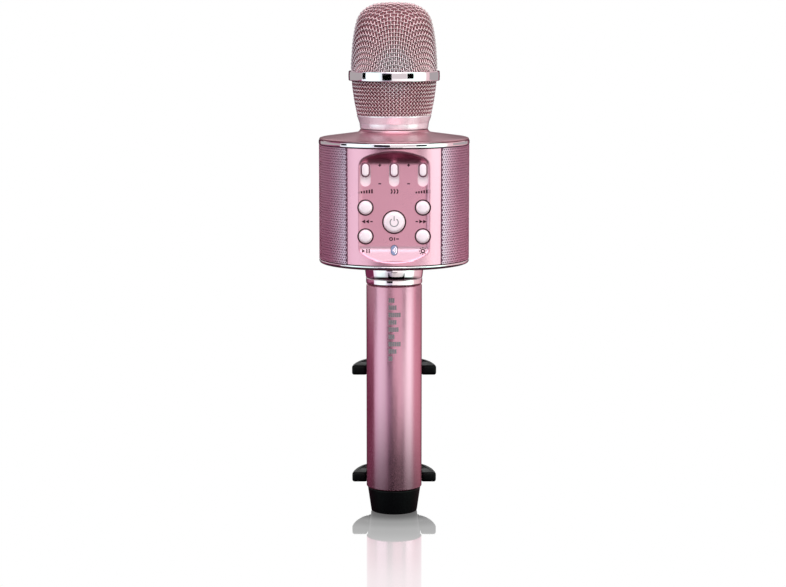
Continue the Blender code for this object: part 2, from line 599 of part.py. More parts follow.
# The control panel and its board stand in front of the ring plates, so both plates are cut back.
cut(chassis, block("cut_chassis_front", (-0.66 * DRUM_R, 0.66 * DRUM_R), (-DRUM_R, BOARD_Y + 2.4 * MM),
                   (CHASSIS_Z - MM, Z_COLLAR)))
for side, name in ((1, "right"), (-1, "left")):
    axis = "+X" if side > 0 else "-X"
    x0 = BAFFLE_X + 1.8 * MM + GAP  # the flange sits on the outer face of the baffle
    basket_r = SPEAKER_R - 1.9 * MM
    turned(
        "speaker_frame_" + name,
        [
            (SPEAKER_R, x0), (SPEAKER_R, x0 + 1.2 * MM), (basket_r - 0.8 * MM, x0 + 1.2 * MM),
            (basket_r - 0.8 * MM, x0 - 2.2 * MM), (0.62 * SPEAKER_R, x0 - 9 * MM),
            (4.0 * MM, x0 - 9 * MM), (4.0 * MM, x0 - 10.4 * MM), (0.66 * SPEAKER_R, x0 - 10.4 * MM),
            (basket_r, x0 - 2.6 * MM), (basket_r, x0),
        ],
        "steel", axis, (0, 0, SPEAKER_Z), steps=24,
    )
    rim = basket_r - 1.2 * MM
    turned(
        "speaker_cone_" + name,
        [
            (0, x0 - 3.4 * MM), (0.08 * DRUM_R, x0 - 3.9 * MM), (0.16 * DRUM_R, x0 - 5.6 * MM),
            (rim - 2.4 * MM, x0 - 0.4 * MM), (rim - 1.2 * MM, x0 + 0.8 * MM), (rim, x0 + 0.2 * MM),
            (rim, x0 - 0.5 * MM), (rim - 1.2 * MM, x0 + 0.1 * MM), (rim - 2.4 * MM, x0 - 1.1 * MM),
            (0.16 * DRUM_R, x0 - 6.4 * MM), (3.4 * MM, x0 - 6.4 * MM), (3.4 * MM, x0 - 10.2 * MM),
            (0, x0 - 10.2 * MM),
        ],
        "cone", axis, (0, 0, SPEAKER_Z), steps=24,
    )
    turned(
        "speaker_magnet_" + name,
        [
            (0, x0 - 17 * MM), (0.52 * SPEAKER_R, x0 - 17 * MM), (0.52 * SPEAKER_R, x0 - 10.7 * MM),
            (0, x0 - 10.7 * MM),
        ],
        "steel", axis, (0, 0, SPEAKER_Z), steps=24,
    )

# ---------------------------------------------------------------- head
RING_IN = HEAD_NECK_R - 2.5 * MM
turned(
    "upper_neck",
    [
        (RING_IN, Z_COLLAR + 3.6 * MM), (RING_IN - 2 * MM, Z_COLLAR + 3.6 * MM),
        (RING_IN - 2 * MM, Z_COLLAR - 6.0 * MM), (HEAD_NECK_R + 2.4 * MM, Z_COLLAR - 6.0 * MM),
        (HEAD_NECK_R + 2.4 * MM, Z_COLLAR - 4.3 * MM), (RING_IN, Z_COLLAR - 4.3 * MM),
    ],
    "part",
)
SEAT_R = COLLAR_R - 0.5 * MM
turned(
    "head_collar",
    [
        (HEAD_NECK_R - 0.2 * MM, Z_COLLAR + 0.1 * MM), (HEAD_NECK_R, Z_COLLAR + 0.4 * MM),
        (HEAD_NECK_R + 0.35 * MM, Z_COLLAR + 0.4 * COLLAR_HEIGHT), (COLLAR_R, Z_COLLAR + COLLAR_HEIGHT),
        (SEAT_R, Z_COLLAR + COLLAR_HEIGHT), (SEAT_R, Z_COLLAR + COLLAR_HEIGHT - 2.6 * MM),
        (RING_IN + GAP, Z_COLLAR + COLLAR_HEIGHT - 2.6 * MM), (RING_IN + GAP, Z_COLLAR + 0.1 * MM),
    ],
    "chrome",
)
LOWER_SHAPE = [(0.0, 0.0), (0.18, 0.30), (0.36, 0.56), (0.55, 0.75), (0.78, 0.92), (1.0, 1.0)]
TUCK_R = HEAD_R - 0.35 * MM
outer = [(COLLAR_R + (TUCK_R - COLLAR_R) * grow, Z_MESH + LOWER_GRILLE_HEIGHT * rise)
         for rise, grow in LOWER_SHAPE]
tuck = SEAT_R - GAP
turned(
    "grille_lower",
    [(tuck, Z_MESH - 2.4 * MM), (tuck, Z_MESH)] + outer + [(TUCK_R, Z_BAND + 2.1 * MM)]
    + [(r - MESH_WALL, z) for r, z in reversed(outer[1:])] + [(tuck - MESH_WALL, Z_MESH - 2.4 * MM)],
    "steel",
    steps=28,
)
BAND_IN = HEAD_R + GAP
turned(
    "head_band",
    [
        (BAND_R - 0.6 * MM, Z_BAND), (BAND_R, Z_BAND + 0.6 * MM), (BAND_R, Z_UPPER - 0.6 * MM),
        (BAND_R - 0.6 * MM, Z_UPPER), (BAND_IN, Z_UPPER), (BAND_IN, Z_BAND + 3.0 * MM),
        (BAND_IN - 2.6 * MM, Z_BAND + 3.0 * MM), (BAND_IN - 2.6 * MM, Z_BAND + 2.4 * MM),
        (BAND_IN, Z_BAND + 2.4 * MM), (BAND_IN, Z_BAND),
    ],
    "chrome",
    steps=28,
)
# The dome narrows from a cylinder to a flattened crown, as pressed mesh does.
CROWN = [
    (0.0, 1.0), (0.13, 0.998), (0.27, 0.983), (0.40, 0.967), (0.55, 0.936), (0.68, 0.893),
    (0.78, 0.842), (0.855, 0.765), (0.91, 0.670), (0.955, 0.540), (0.985, 0.370), (1.0, 0.0),
]
dome = [(HEAD_R * across, Z_UPPER + UPPER_GRILLE_HEIGHT * rise) for rise, across in CROWN]
shell = [(HEAD_R, Z_BAND + 3.3 * MM)] + dome


def inset(points, depth):
    """The same outline moved inwards, with its crown lowered by as much."""
    top = points[-1][1]
    low = points[0][1]
    made = []
    for r, z in points:
        share = (z - low) / (top - low)
        made.append((max(r * (1 - depth / HEAD_R), 0.0), z - depth * share))
    return made


turned("grille_upper", shell + list(reversed(inset(shell, MESH_WALL))), "steel", steps=28)
turned(
    "foam_liner",
    inset(shell, MESH_WALL + GAP) + list(reversed(inset(shell, MESH_WALL + GAP + 2 * MM))),
    "foam",
    steps=18,
)
CAPSULE_R = 8 * MM
MOUNT_Z = Z_COLLAR + 3.6 * MM + GAP
turned(
    "capsule_mount",
    [
        (3 * MM, MOUNT_Z), (RING_IN, MOUNT_Z), (RING_IN, MOUNT_Z + 2.4 * MM),
        (CAPSULE_R + 2 * MM, MOUNT_Z + 4 * MM), (CAPSULE_R + 2 * MM, MOUNT_Z + 15 * MM),
        (CAPSULE_R + GAP, MOUNT_Z + 15 * MM), (CAPSULE_R + GAP, MOUNT_Z + 3 * MM),
        (3 * MM, MOUNT_Z + 3 * MM),
    ],
    "rubber",
    steps=28,
)
capsule = turned(
    "mic_capsule",
    [
        (0, MOUNT_Z + 3 * MM + GAP), (CAPSULE_R, MOUNT_Z + 3 * MM + GAP),
        (CAPSULE_R, MOUNT_Z + 20 * MM), (CAPSULE_R + 1.5 * MM, MOUNT_Z + 20 * MM),
        (CAPSULE_R + 1.5 * MM, MOUNT_Z + 25 * MM), (CAPSULE_R, MOUNT_Z + 26.5 * MM),
        (0, MOUNT_Z + 26.5 * MM),
    ],
    "part",
    steps=28,
)
for k in range(6):
    angle = math.radians(60 * k)
    cut(capsule, turned(f"cut_port_{k}", [(0, 0), (1.5 * MM, 0), (1.5 * MM, 4 * MM), (0, 4 * MM)],
                        at=(5 * MM * math.sin(angle), 5 * MM * math.cos(angle), MOUNT_Z + 24 * MM), steps=10))

# ---------------------------------------------------------------- phone clamp
CLAMP_MID = (CLAMP_BOTTOM + CLAMP_TOP) / 2
SADDLE_Y = HANDLE_R + 3.15 * MM
FRAME_HALF = HANDLE_R - 0.55 * MM
Y_FRAME = SADDLE_Y + GAP
LEAF = 2.0 * MM
Y_LEFT = Y_FRAME + 1.5 * MM + GAP
Y_RIGHT = Y_LEFT + LEAF + GAP
Y_INNER_END = Y_RIGHT + LEAF + GAP
Y_FRAME_END = Y_INNER_END + 1.5 * MM

saddle = block("clamp_saddle", (-9 * MM, 9 * MM), (HANDLE_R - 3 * MM, SADDLE_Y),
               (CLAMP_MID - 16 * MM, CLAMP_MID + 16 * MM), "black")
cut(saddle, turned("cut_saddle", [(0, 0), (HANDLE_R + GAP, 0), (HANDLE_R + GAP, 0.1), (0, 0.1)], steps=60))
frame = block("clamp_frame", (-FRAME_HALF, FRAME_HALF), (Y_FRAME, Y_FRAME_END),
              (CLAMP_BOTTOM - 3.4 * MM, CLAMP_TOP + 3.0 * MM), "black")
cut(frame, block("cut_frame", (-0.1, 0.1), (Y_FRAME + 1.5 * MM, Y_INNER_END),
                 (CLAMP_BOTTOM - 1.8 * MM, CLAMP_TOP + 1.4 * MM)))
pad_outline = pill(0, CLAMP_MID, 2 * FRAME_HALF - 4 * MM, CLAMP_TOP - CLAMP_BOTTOM - 8 * MM, 3 * MM, 3)
extruded("clamp_pad", pad_outline, Y_FRAME_END + GAP, Y_FRAME_END + 1.5 * MM, "XZ", "rubber")

CLAW_OUT = [(1.0, 0.0), (0.978, 5.0), (0.939, 9.9), (0.883, 14.8), (0.783, 20.5), (0.648, 24.6)]
CLAW_IN = [(0.540, 23.3), (0.650, 18.6), (0.720, 14.2), (0.735, 12.6)]
CLAW_Y = HANDLE_R - 0.15 * MM
for side, name, leaf_y in ((-1, "jaw_left", Y_LEFT), (1, "jaw_right", Y_RIGHT)):
    root = FRAME_HALF + GAP
    claw = [(side * JAW_REACH * across, CLAW_Y + back * MM) for across, back in CLAW_OUT + CLAW_IN]
    claw += [(side * root, Y_FRAME_END), (side * root, CLAW_Y)]
    xs = sorted((side * (root + 2 * MM), side * (-0.68 * FRAME_HALF)))
    jaw = block(name, xs, (leaf_y, leaf_y + LEAF), (CLAMP_BOTTOM + MM, CLAMP_TOP - MM), "black")
    trim = block("cut_edge_" + name, sorted((side * root, side * (root + 9 * MM))),
                 (leaf_y - MM, leaf_y + LEAF + MM),
                 (CLAMP_BOTTOM + FINGER_HEIGHT, CLAMP_TOP - FINGER_HEIGHT))
    cut(jaw, trim)
    for part, low in (("lower", CLAMP_BOTTOM), ("upper", CLAMP_TOP - FINGER_HEIGHT)):
        finger = extruded(f"{name}_{part}", claw, low, low + FINGER_HEIGHT, "XY", "black")
        join(jaw, finger)
    set_origin(jaw, (0, leaf_y + LEAF / 2, CLAMP_MID))
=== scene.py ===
# %% [markdown]
# # A rose karaoke microphone, finished for rendering
# The frame below is the working model: every body, joint and size is already settled in it. This lesson
# adds what the eye wants: woven wire, pierced metal, polished rings, printed signs and lacquer. Nothing
# here moves or resizes the frame; each new piece takes its place from the frame's own boxes.

# %% Load the frame
import bisect
import math

import bpy
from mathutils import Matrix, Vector


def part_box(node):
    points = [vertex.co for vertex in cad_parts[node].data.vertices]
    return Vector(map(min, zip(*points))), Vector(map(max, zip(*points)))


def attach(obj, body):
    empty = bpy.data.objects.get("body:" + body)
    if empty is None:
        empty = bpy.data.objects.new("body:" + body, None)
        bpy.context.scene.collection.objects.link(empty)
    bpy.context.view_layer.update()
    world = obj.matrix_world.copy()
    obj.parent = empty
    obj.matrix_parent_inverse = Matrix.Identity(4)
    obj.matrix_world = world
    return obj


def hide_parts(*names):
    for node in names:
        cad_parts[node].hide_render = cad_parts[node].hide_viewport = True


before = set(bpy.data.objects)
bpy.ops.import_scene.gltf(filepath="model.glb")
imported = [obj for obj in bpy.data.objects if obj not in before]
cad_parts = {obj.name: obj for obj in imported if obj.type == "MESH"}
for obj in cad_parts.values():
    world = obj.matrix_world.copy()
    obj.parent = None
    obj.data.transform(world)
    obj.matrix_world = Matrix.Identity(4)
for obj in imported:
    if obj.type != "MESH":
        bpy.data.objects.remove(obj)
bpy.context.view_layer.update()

MM = 0.001
ROOT = "microphone"

# %% [markdown]
# The picture is taken from well back with a long lens, a little above the object and tilted down, so
# that the rings of the drum show as shallow ovals. A long lens keeps the handle's sides nearly
# parallel.

# %% Place the camera
LENS_MM = 99.4
CAMERA_SPOT = (-0.0006, -1.150, 0.2738)
CAMERA_TILT = math.radians(90 - 7.7)
lens = bpy.data.cameras.new("studio_camera")
lens.lens = LENS_MM
lens.sensor_width = 36
camera = bpy.data.objects.new("studio_camera", lens)
camera.location = CAMERA_SPOT
camera.rotation_euler = (CAMERA_TILT, 0, 0)
bpy.context.scene.collection.objects.link(camera)
bpy.context.scene.camera = camera
print("camera", CAMERA_SPOT)

# %% [markdown]
# Sizes come from the frame. Each name below is a height or radius read off a node's box, so if the
# working model is changed and packed again, every finished piece follows it.

# %% Read the sizes
def low(node):
    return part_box(node)[0]


def high(node):
    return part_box(node)[1]


HANDLE_R = high("handle_tube")[0]
CAP_TOP = low("handle_tube")[2]
TUBE_TOP = high("handle_tube")[2]
DRUM_R = high("bottom_trim")[0]
DRUM_LOW = low("bottom_trim")[2]
PANEL_LOW, PANEL_HIGH = low("front_panel")[2], high("front_panel")[2]
PANEL_TALL = PANEL_HIGH - PANEL_LOW
PANEL_HALF = high("front_panel")[0]
TRIM_TOP = high("top_trim")[2]
DOME_TOP = high("drum_top_cover")[2]
COLLAR_LOW, COLLAR_TOP = low("head_collar")[2], high("head_collar")[2]
BAND_LOW, BAND_TOP = low("head_band")[2], high("head_band")[2]
BAND_R = high("head_band")[0]
HEAD_R = high("grille_upper")[0]
HEAD_TOP = high("grille_upper")[2]
COLLAR_R = high("head_collar")[0]
FLOOR_Y = low("slider_mic")[1] + 2.1 * MM
COLUMN_X = (low("button_next")[0] + high("button_next")[0]) / 2
print("drum radius mm", round(DRUM_R / MM, 2), "panel mm", round(PANEL_TALL / MM, 2))

# %% [markdown]
# A few habits of hand modelling, kept as helpers. `alone` selects one object and nothing else, because
# every operator acts on all that is selected. `apply` makes a modifier real. `settle` finishes a piece:
# it gets its material, its smooth shading, the body it rides on and the frame nodes it stands for.

# %% Helpers
def clear_selection():
    if bpy.context.mode != "OBJECT":
        bpy.ops.object.mode_set(mode="OBJECT")
    bpy.ops.object.select_all(action="DESELECT")


def alone(piece):
    clear_selection()
    piece.select_set(True)
    bpy.context.view_layer.objects.active = piece


def apply(piece, kind, **settings):
    alone(piece)
    modifier = piece.modifiers.new(kind.lower(), kind)
    for key, value in settings.items():
        setattr(modifier, key, value)
    bpy.ops.object.modifier_apply(modifier=modifier.name)


def edit_all():
    """Opens the active mesh with every point selected."""
    bpy.ops.object.mode_set(mode="EDIT")
    bpy.ops.mesh.select_all(action="SELECT")


def outward(piece):
    alone(piece)
    edit_all()
    bpy.ops.mesh.remove_doubles(threshold=0.5e-6)
    bpy.ops.mesh.normals_make_consistent(inside=False)
    bpy.ops.object.mode_set(mode="OBJECT")


def settle(piece, material, replaces=(), body=ROOT, smooth=35):
    alone(piece)
    bpy.ops.object.transform_apply(location=True, rotation=True, scale=True)
    bpy.ops.object.shade_smooth_by_angle(angle=math.radians(smooth))
    piece.data.materials.clear()
    piece.data.materials.append(material)
    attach(piece, body)
    if replaces:
        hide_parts(*replaces)
    print(piece.name, len(piece.data.polygons), "faces on", body)
    return piece


def soften(corners, radius, closed=True, cuts=4):
    """Rounds the corners of an outline with short curves, each limited by its shorter side."""
    points = []
    count = len(corners)
    for i, corner in enumerate(corners):
        here = Vector(corner)
        if not closed and i in (0, count - 1):
            points.append(tuple(here))
            continue
        before, after = Vector(corners[i - 1]), Vector(corners[(i + 1) % count])
        reach = min(radius, (before - here).length * 0.45, (after - here).length * 0.45)
        start = here + (before - here).normalized() * reach
        end = here + (after - here).normalized() * reach
        for k in range(cuts + 1):
            t = k / cuts
            points.append(tuple((1 - t) ** 2 * start + 2 * t * (1 - t) * here + t * t * end))
    return points


def shifted(r, z, *steps):
    """Outline points at steps, in mm, out and up from one corner."""
    return [(r + out * MM, z + up * MM) for out, up in steps]


def pill(x, z, width, height, corner=None, steps=8):
    r = min(width, height) / 2 if corner is None else corner
    points = []
    for quarter, (sx, sz) in enumerate([(1, 1), (-1, 1), (-1, -1), (1, -1)]):
        for k in range(steps + 1):
            angle = math.pi / 2 * (quarter + k / steps)
            spot = (x + sx * (width / 2 - r) + r * math.cos(angle),
                    z + sz * (height / 2 - r) + r * math.sin(angle))
            if not points or math.dist(points[-1], spot) > 1e-6:
                points.append(spot)
    if math.dist(points[0], points[-1]) < 1e-6:
        points.pop()
    return points


def spun(name, outline, steps=128, sector=None, closed=True):
    """Pulls one point along an outline (radius, height), then spins the line round Z."""
    first, last = sector or (0.0, 2 * math.pi)
    spots = [Vector((r * math.sin(first), -r * math.cos(first), z)) for r, z in outline]
    if closed:
        spots.append(spots[0])
    clear_selection()
    bpy.ops.mesh.primitive_plane_add(size=MM, location=(0, 0, 0))
    piece = bpy.context.object
    piece.name = name
    edit_all()
    bpy.ops.mesh.merge(type="CENTER")
    bpy.ops.transform.translate(value=spots[0])
    for here, there in zip(spots, spots[1:]):
        bpy.ops.mesh.extrude_region_move(TRANSFORM_OT_translate={"value": there - here})
    bpy.ops.mesh.select_all(action="SELECT")
    bpy.ops.mesh.spin(steps=steps, angle=last - first, center=(0, 0, 0), axis=(0, 0, -1))
    bpy.ops.mesh.select_all(action="SELECT")
    bpy.ops.mesh.remove_doubles(threshold=0.5e-6)
    if sector and closed:
        bpy.ops.mesh.fill_holes(sides=0)
        bpy.ops.mesh.select_all(action="SELECT")
    bpy.ops.mesh.normals_make_consistent(inside=False)
    bpy.ops.object.mode_set(mode="OBJECT")
    return piece


def slab(name, outline, start, depth, plane="XZ", bevel=0.0, bevel_steps=3):
    """A flat filled ring of points, pushed through to a thickness and given soft edges."""
    clear_selection()
    bpy.ops.mesh.primitive_circle_add(vertices=len(outline), radius=MM, fill_type="NGON")
    piece = bpy.context.object
    piece.name = name
    for vertex, (a, b) in zip(piece.data.vertices, outline):
        vertex.co = {"XZ": (a, start, b), "XY": (a, b, start), "YZ": (start, a, b)}[plane]
    push = {"XZ": (0, depth, 0), "XY": (0, 0, depth), "YZ": (depth, 0, 0)}[plane]
    edit_all()
    bpy.ops.mesh.extrude_region_move(TRANSFORM_OT_translate={"value": push})
    bpy.ops.mesh.select_all(action="SELECT")
    bpy.ops.mesh.normals_make_consistent(inside=False)
    bpy.ops.object.mode_set(mode="OBJECT")
    if bevel:
        apply(piece, "BEVEL", width=bevel, segments=bevel_steps, limit_method="ANGLE",
              angle_limit=math.radians(50), use_clamp_overlap=False)
    return piece


def carve(piece, tool, operation="DIFFERENCE"):
    apply(piece, "BOOLEAN", object=tool, operation=operation, solver="EXACT")
    bpy.data.objects.remove(tool, do_unlink=True)
    return piece


def merged(name, pieces):
    clear_selection()
    for each in pieces:
        each.select_set(True)
    bpy.context.view_layer.objects.active = pieces[0]
    bpy.ops.object.join()
    pieces[0].name = name
    return pieces[0]


print("helpers ready")

# %% [markdown]
# Materials are drawn as nodes. These helpers make the ones that repeat: arithmetic, a soft mask, a tint
# under a mask, and a distance in the object's own coordinates.

# %% Node helpers
def maths(nodes, links, operation, *values):
    """A Math node fed with links, or with plain numbers set on its sockets."""
    made = nodes.new("ShaderNodeMath")
    made.operation = operation
    for socket, value in zip(made.inputs, values):
        if isinstance(value, float):
            socket.default_value = value
        else:
            links.new(value, socket)
    return made.outputs[0]


def smooth_mask(nodes, links, source, start, stop):
    """Goes softly from 0 to 1 as the source goes from start to stop."""
    mask = nodes.new("ShaderNodeMapRange")
    mask.interpolation_type = "SMOOTHSTEP"
    mask.inputs["From Min"].default_value = start
    mask.inputs["From Max"].default_value = stop
    links.new(source, mask.inputs["Value"])
    return mask.outputs[0]


def tinted(nodes, links, mask, under, colour):
    """The colour underneath, turned to another one where the mask is 1."""
    mix = nodes.new("ShaderNodeMix")
    mix.data_type = "RGBA"
    mix.inputs["B"].default_value = (*colour, 1)
    links.new(mask, mix.inputs["Factor"])
    links.new(under, mix.inputs["A"])
    return mix.outputs["Result"]


def distance_from(nodes, links, place, scale, shift):
    """The length of a place once it has been scaled and shifted."""
    moved = nodes.new("ShaderNodeVectorMath")
    moved.operation = "MULTIPLY_ADD"
    moved.inputs[1].default_value = scale
    moved.inputs[2].default_value = shift
    links.new(place, moved.inputs[0])
    reach = nodes.new("ShaderNodeVectorMath")
    reach.operation = "LENGTH"
    links.new(moved.outputs["Vector"], reach.inputs[0])
    return reach.outputs["Value"]


def own_place(look):
    """A look's nodes and links, with the object's own coordinates whole and in parts."""
    nodes, links = look.node_tree.nodes, look.node_tree.links
    place = nodes.new("ShaderNodeTexCoord")
    parts = nodes.new("ShaderNodeSeparateXYZ")
    links.new(place.outputs["Object"], parts.inputs[0])
    return nodes, links, place.outputs["Object"], parts.outputs


def repaint(look, colour):
    look.node_tree.links.new(colour, look.node_tree.nodes["Principled BSDF"].inputs["Base Color"])
    print("repainted", look.name)


print("node helpers ready")

# %% [markdown]
# Every real surface is a little uneven. One shared node group makes that unevenness: two layers of
# noise in the object's own coordinates, read as a tint, a roughness and a height. Lacquer, anodised
# metal and moulded plastic all use it, each with its own scale and depth.

# %% The shared surface group
def make_surface_group():
    group = bpy.data.node_groups.new("uneven_surface", "ShaderNodeTree")
    face = group.interface
    number, colour = "NodeSocketFloat", "NodeSocketColor"
    for socket, kind, value in (
        ("Fine Scale", number, 3000.0),
        ("Broad Scale", number, 60.0),
        ("Colour A", colour, (0.5, 0.5, 0.5, 1)),
        ("Colour B", colour, (0.5, 0.5, 0.5, 1)),
        ("Rough Low", number, 0.3),
        ("Rough High", number, 0.4),
    ):
        made = face.new_socket(name=socket, in_out="INPUT", socket_type=kind)
        made.default_value = value
    for socket, kind in (("Colour", colour), ("Roughness", number), ("Height", number)):
        face.new_socket(name=socket, in_out="OUTPUT", socket_type=kind)
    nodes, links = group.nodes, group.links
    source = nodes.new("NodeGroupInput")
    result = nodes.new("NodeGroupOutput")
    place = nodes.new("ShaderNodeTexCoord")
    noise = {}
    for layer, detail in (("Fine", 2.0), ("Broad", 4.0)):
        made = nodes.new("ShaderNodeTexNoise")
        made.inputs["Detail"].default_value = detail
        links.new(place.outputs["Object"], made.inputs["Vector"])
        links.new(source.outputs[f"{layer} Scale"], made.inputs["Scale"])
        noise[layer] = made.outputs["Fac"]
    half = maths(nodes, links, "MULTIPLY", noise["Broad"], 0.5)
    both = maths(nodes, links, "MULTIPLY_ADD", noise["Fine"], 0.5, half)
    mix = nodes.new("ShaderNodeMix")
    mix.data_type = "RGBA"
    links.new(both, mix.inputs["Factor"])
    links.new(source.outputs["Colour A"], mix.inputs["A"])
    links.new(source.outputs["Colour B"], mix.inputs["B"])
    ranged = nodes.new("ShaderNodeMapRange")
    ranged.inputs["From Min"].default_value = 0.3
    ranged.inputs["From Max"].default_value = 0.7
    links.new(both, ranged.inputs["Value"])
    links.new(source.outputs["Rough Low"], ranged.inputs["To Min"])
    links.new(source.outputs["Rough High"], ranged.inputs["To Max"])
    links.new(mix.outputs["Result"], result.inputs["Colour"])
    links.new(ranged.outputs["Result"], result.inputs["Roughness"])
    links.new(noise["Fine"], result.inputs["Height"])
    return group


SURFACE = make_surface_group()


def finish(name, dark, light, rough, metallic=0.0, fine=3000.0, broad=60.0, bump=0.0, **sockets):
    """A Principled material whose colour, roughness and relief come from the shared group."""
    made = bpy.data.materials.new(name)
    made.use_nodes = True
    nodes, links = made.node_tree.nodes, made.node_tree.links
    shader = nodes["Principled BSDF"]
    uneven = nodes.new("ShaderNodeGroup")
    uneven.node_tree = SURFACE
    uneven.name = "uneven"
    uneven.inputs["Fine Scale"].default_value = fine
    uneven.inputs["Broad Scale"].default_value = broad
    uneven.inputs["Colour A"].default_value = (*dark, 1)
    uneven.inputs["Colour B"].default_value = (*light, 1)
    uneven.inputs["Rough Low"].default_value = rough[0]
    uneven.inputs["Rough High"].default_value = rough[1]
    links.new(uneven.outputs["Colour"], shader.inputs["Base Color"])
    links.new(uneven.outputs["Roughness"], shader.inputs["Roughness"])
    shader.inputs["Metallic"].default_value = metallic
    for socket, value in sockets.items():
        shader.inputs[socket.replace("_", " ")].default_value = value
    if bump:
        relief = nodes.new("ShaderNodeBump")
        relief.inputs["Strength"].default_value = 1.0
        relief.inputs["Distance"].default_value = bump
        links.new(uneven.outputs["Height"], relief.inputs["Height"])
        links.new(relief.outputs["Normal"], shader.inputs["Normal"])
    made.diffuse_color = (*light, 1)
    return made


# %% [markdown]
# The palette. The shell is aluminium anodised rose pink, fine-grained and satin. The rings are mirror
# chrome with a rose tint. Controls are pearly lacquer with a faint painted glow. Clamp and foot are satin
# black plastic.

# %% Materials
ROSE = finish("rose_anodised", (0.60, 0.30, 0.36), (0.72, 0.39, 0.45), (0.28, 0.38), 0.9,
              fine=5200.0, broad=45.0, bump=0.000006)
ROSE_PANEL = finish("rose_lacquer", (0.84, 0.37, 0.49), (0.92, 0.43, 0.55), (0.26, 0.33), 0.88,
                    fine=6000.0, broad=35.0, bump=0.000004)
CHROME = finish("silver_chrome", (0.94, 0.82, 0.86), (0.99, 0.88, 0.92), (0.03, 0.08), 1.0,
                fine=800.0, broad=40.0)
ROSE_CHROME = finish("rose_chrome", (0.95, 0.76, 0.81), (0.99, 0.82, 0.86), (0.03, 0.08), 1.0,
                     fine=800.0, broad=40.0)
WIRE = finish("woven_wire", (0.64, 0.43, 0.46), (0.84, 0.59, 0.62), (0.20, 0.32), 1.0,
              fine=1500.0, broad=90.0)
FOAM = finish("windscreen_foam", (0.34, 0.11, 0.14), (0.58, 0.25, 0.29), (0.9, 1.0), 0.0,
              fine=2600.0, broad=400.0, bump=0.00025)
# Painted light: the emission makes the pearl controls glow faintly.
PEARL_WITH_GLOW = finish("pearl_lacquer_painted_glow", (0.98, 0.72, 0.80), (1.0, 0.79, 0.86), (0.16, 0.24), 0.12,
               fine=900.0, broad=120.0, Coat_Weight=0.4, Coat_Roughness=0.05,
               Emission_Color=(1.0, 0.80, 0.87, 1), Emission_Strength=0.16)
BLACK = finish("satin_black", (0.001, 0.001, 0.0015), (0.003, 0.003, 0.0035), (0.34, 0.46), 0.0,
               fine=2200.0, broad=80.0, bump=0.00001, Specular_IOR_Level=0.10)
COLLAR = finish("pale_rose_satin", (0.97, 0.78, 0.85), (1.0, 0.84, 0.90), (0.12, 0.20), 0.5)
# Painted shadow: the dark rose base under each slider knob draws the dark line round it.
KNOB_SHADOW_OUTLINE = finish("knob_painted_shadow", (0.20, 0.06, 0.11), (0.32, 0.11, 0.17), (0.15, 0.25), 0.3)
RUBBER = finish("soft_rubber", (0.012, 0.012, 0.012), (0.03, 0.03, 0.03), (0.75, 0.9), 0.0,
                fine=1800.0, broad=100.0, bump=0.00003)
INK = finish("print_ink", (0.03, 0.006, 0.012), (0.06, 0.012, 0.02), (0.6, 0.7), 0.0,
             Specular_IOR_Level=0.2)
GREY_INK = finish("grey_print", (0.22, 0.19, 0.21), (0.30, 0.27, 0.29), (0.45, 0.55), 0.2)
BLUE = finish("blue_lens", (0.035, 0.05, 0.19), (0.08, 0.11, 0.33), (0.12, 0.18), 0.0,
              Coat_Weight=0.8, Coat_Roughness=0.03)
SHADOW = finish("dark_gap", (0.05, 0.008, 0.018), (0.09, 0.016, 0.035), (0.5, 0.7), 0.0)
STEEL = finish("plated_steel", (0.50, 0.49, 0.49), (0.66, 0.65, 0.65), (0.25, 0.4), 1.0)
DARK = finish("dark_moulding", (0.03, 0.03, 0.033), (0.06, 0.06, 0.065), (0.5, 0.65), 0.0, bump=0.00002)
BOARD = finish("solder_mask", (0.01, 0.10, 0.04), (0.02, 0.17, 0.07), (0.35, 0.5), 0.0, broad=600.0)
MAUVE = finish("mauve_grille", (0.70, 0.27, 0.44), (0.86, 0.40, 0.56), (0.26, 0.36), 0.8,
               fine=3000.0, broad=60.0)
LINING = finish("grille_lining", (0.16, 0.055, 0.10), (0.22, 0.08, 0.14), (0.8, 0.9), 0.0)
HANDLE_ROSE = finish("handle_anodised", (0.70, 0.31, 0.42), (0.78, 0.37, 0.48), (0.20, 0.28), 0.95,
                     fine=5200.0, broad=45.0, bump=0.000006)
PAPER = finish("paper_cone", (0.03, 0.028, 0.027), (0.06, 0.055, 0.052), (0.85, 0.95), 0.0, bump=0.00004)
WRAP = finish("cell_wrap", (0.03, 0.12, 0.34), (0.05, 0.18, 0.45), (0.3, 0.4), 0.0)
print("materials", len(bpy.data.materials))

# %% [markdown]
# ## The head
# The basket is a flat square weave of wire that was pressed over a form. Pressing keeps each wire's
# length, so a point stays as far from the crown along the surface as it was from the centre of the flat
# cloth. The same rule places every wire here: a flat grid is drawn, then each point is carried down the
# dome's outline by its own distance from the middle. That gives the arching rows that a printed texture
# never has.

# %% The dome's outline
def flowing(points, cuts=6):
    """A smooth line through a few points (Catmull-Rom)."""
    made = []
    for i in range(len(points) - 1):
        p0, p1 = Vector(points[max(i - 1, 0)]), Vector(points[i])
        p2, p3 = Vector(points[i + 1]), Vector(points[min(i + 2, len(points) - 1)])
        for k in range(cuts):
            t = k / cuts
            made.append(0.5 * (2 * p1 + (p2 - p0) * t + (2 * p0 - 5 * p1 + 4 * p2 - p3) * t * t
                               + (3 * p1 - p0 - 3 * p2 + p3) * t ** 3))
    made.append(Vector(points[-1]))
    return made


WIRE_R = 0.32 * MM
WEAVE_RISE = 0.30 * MM
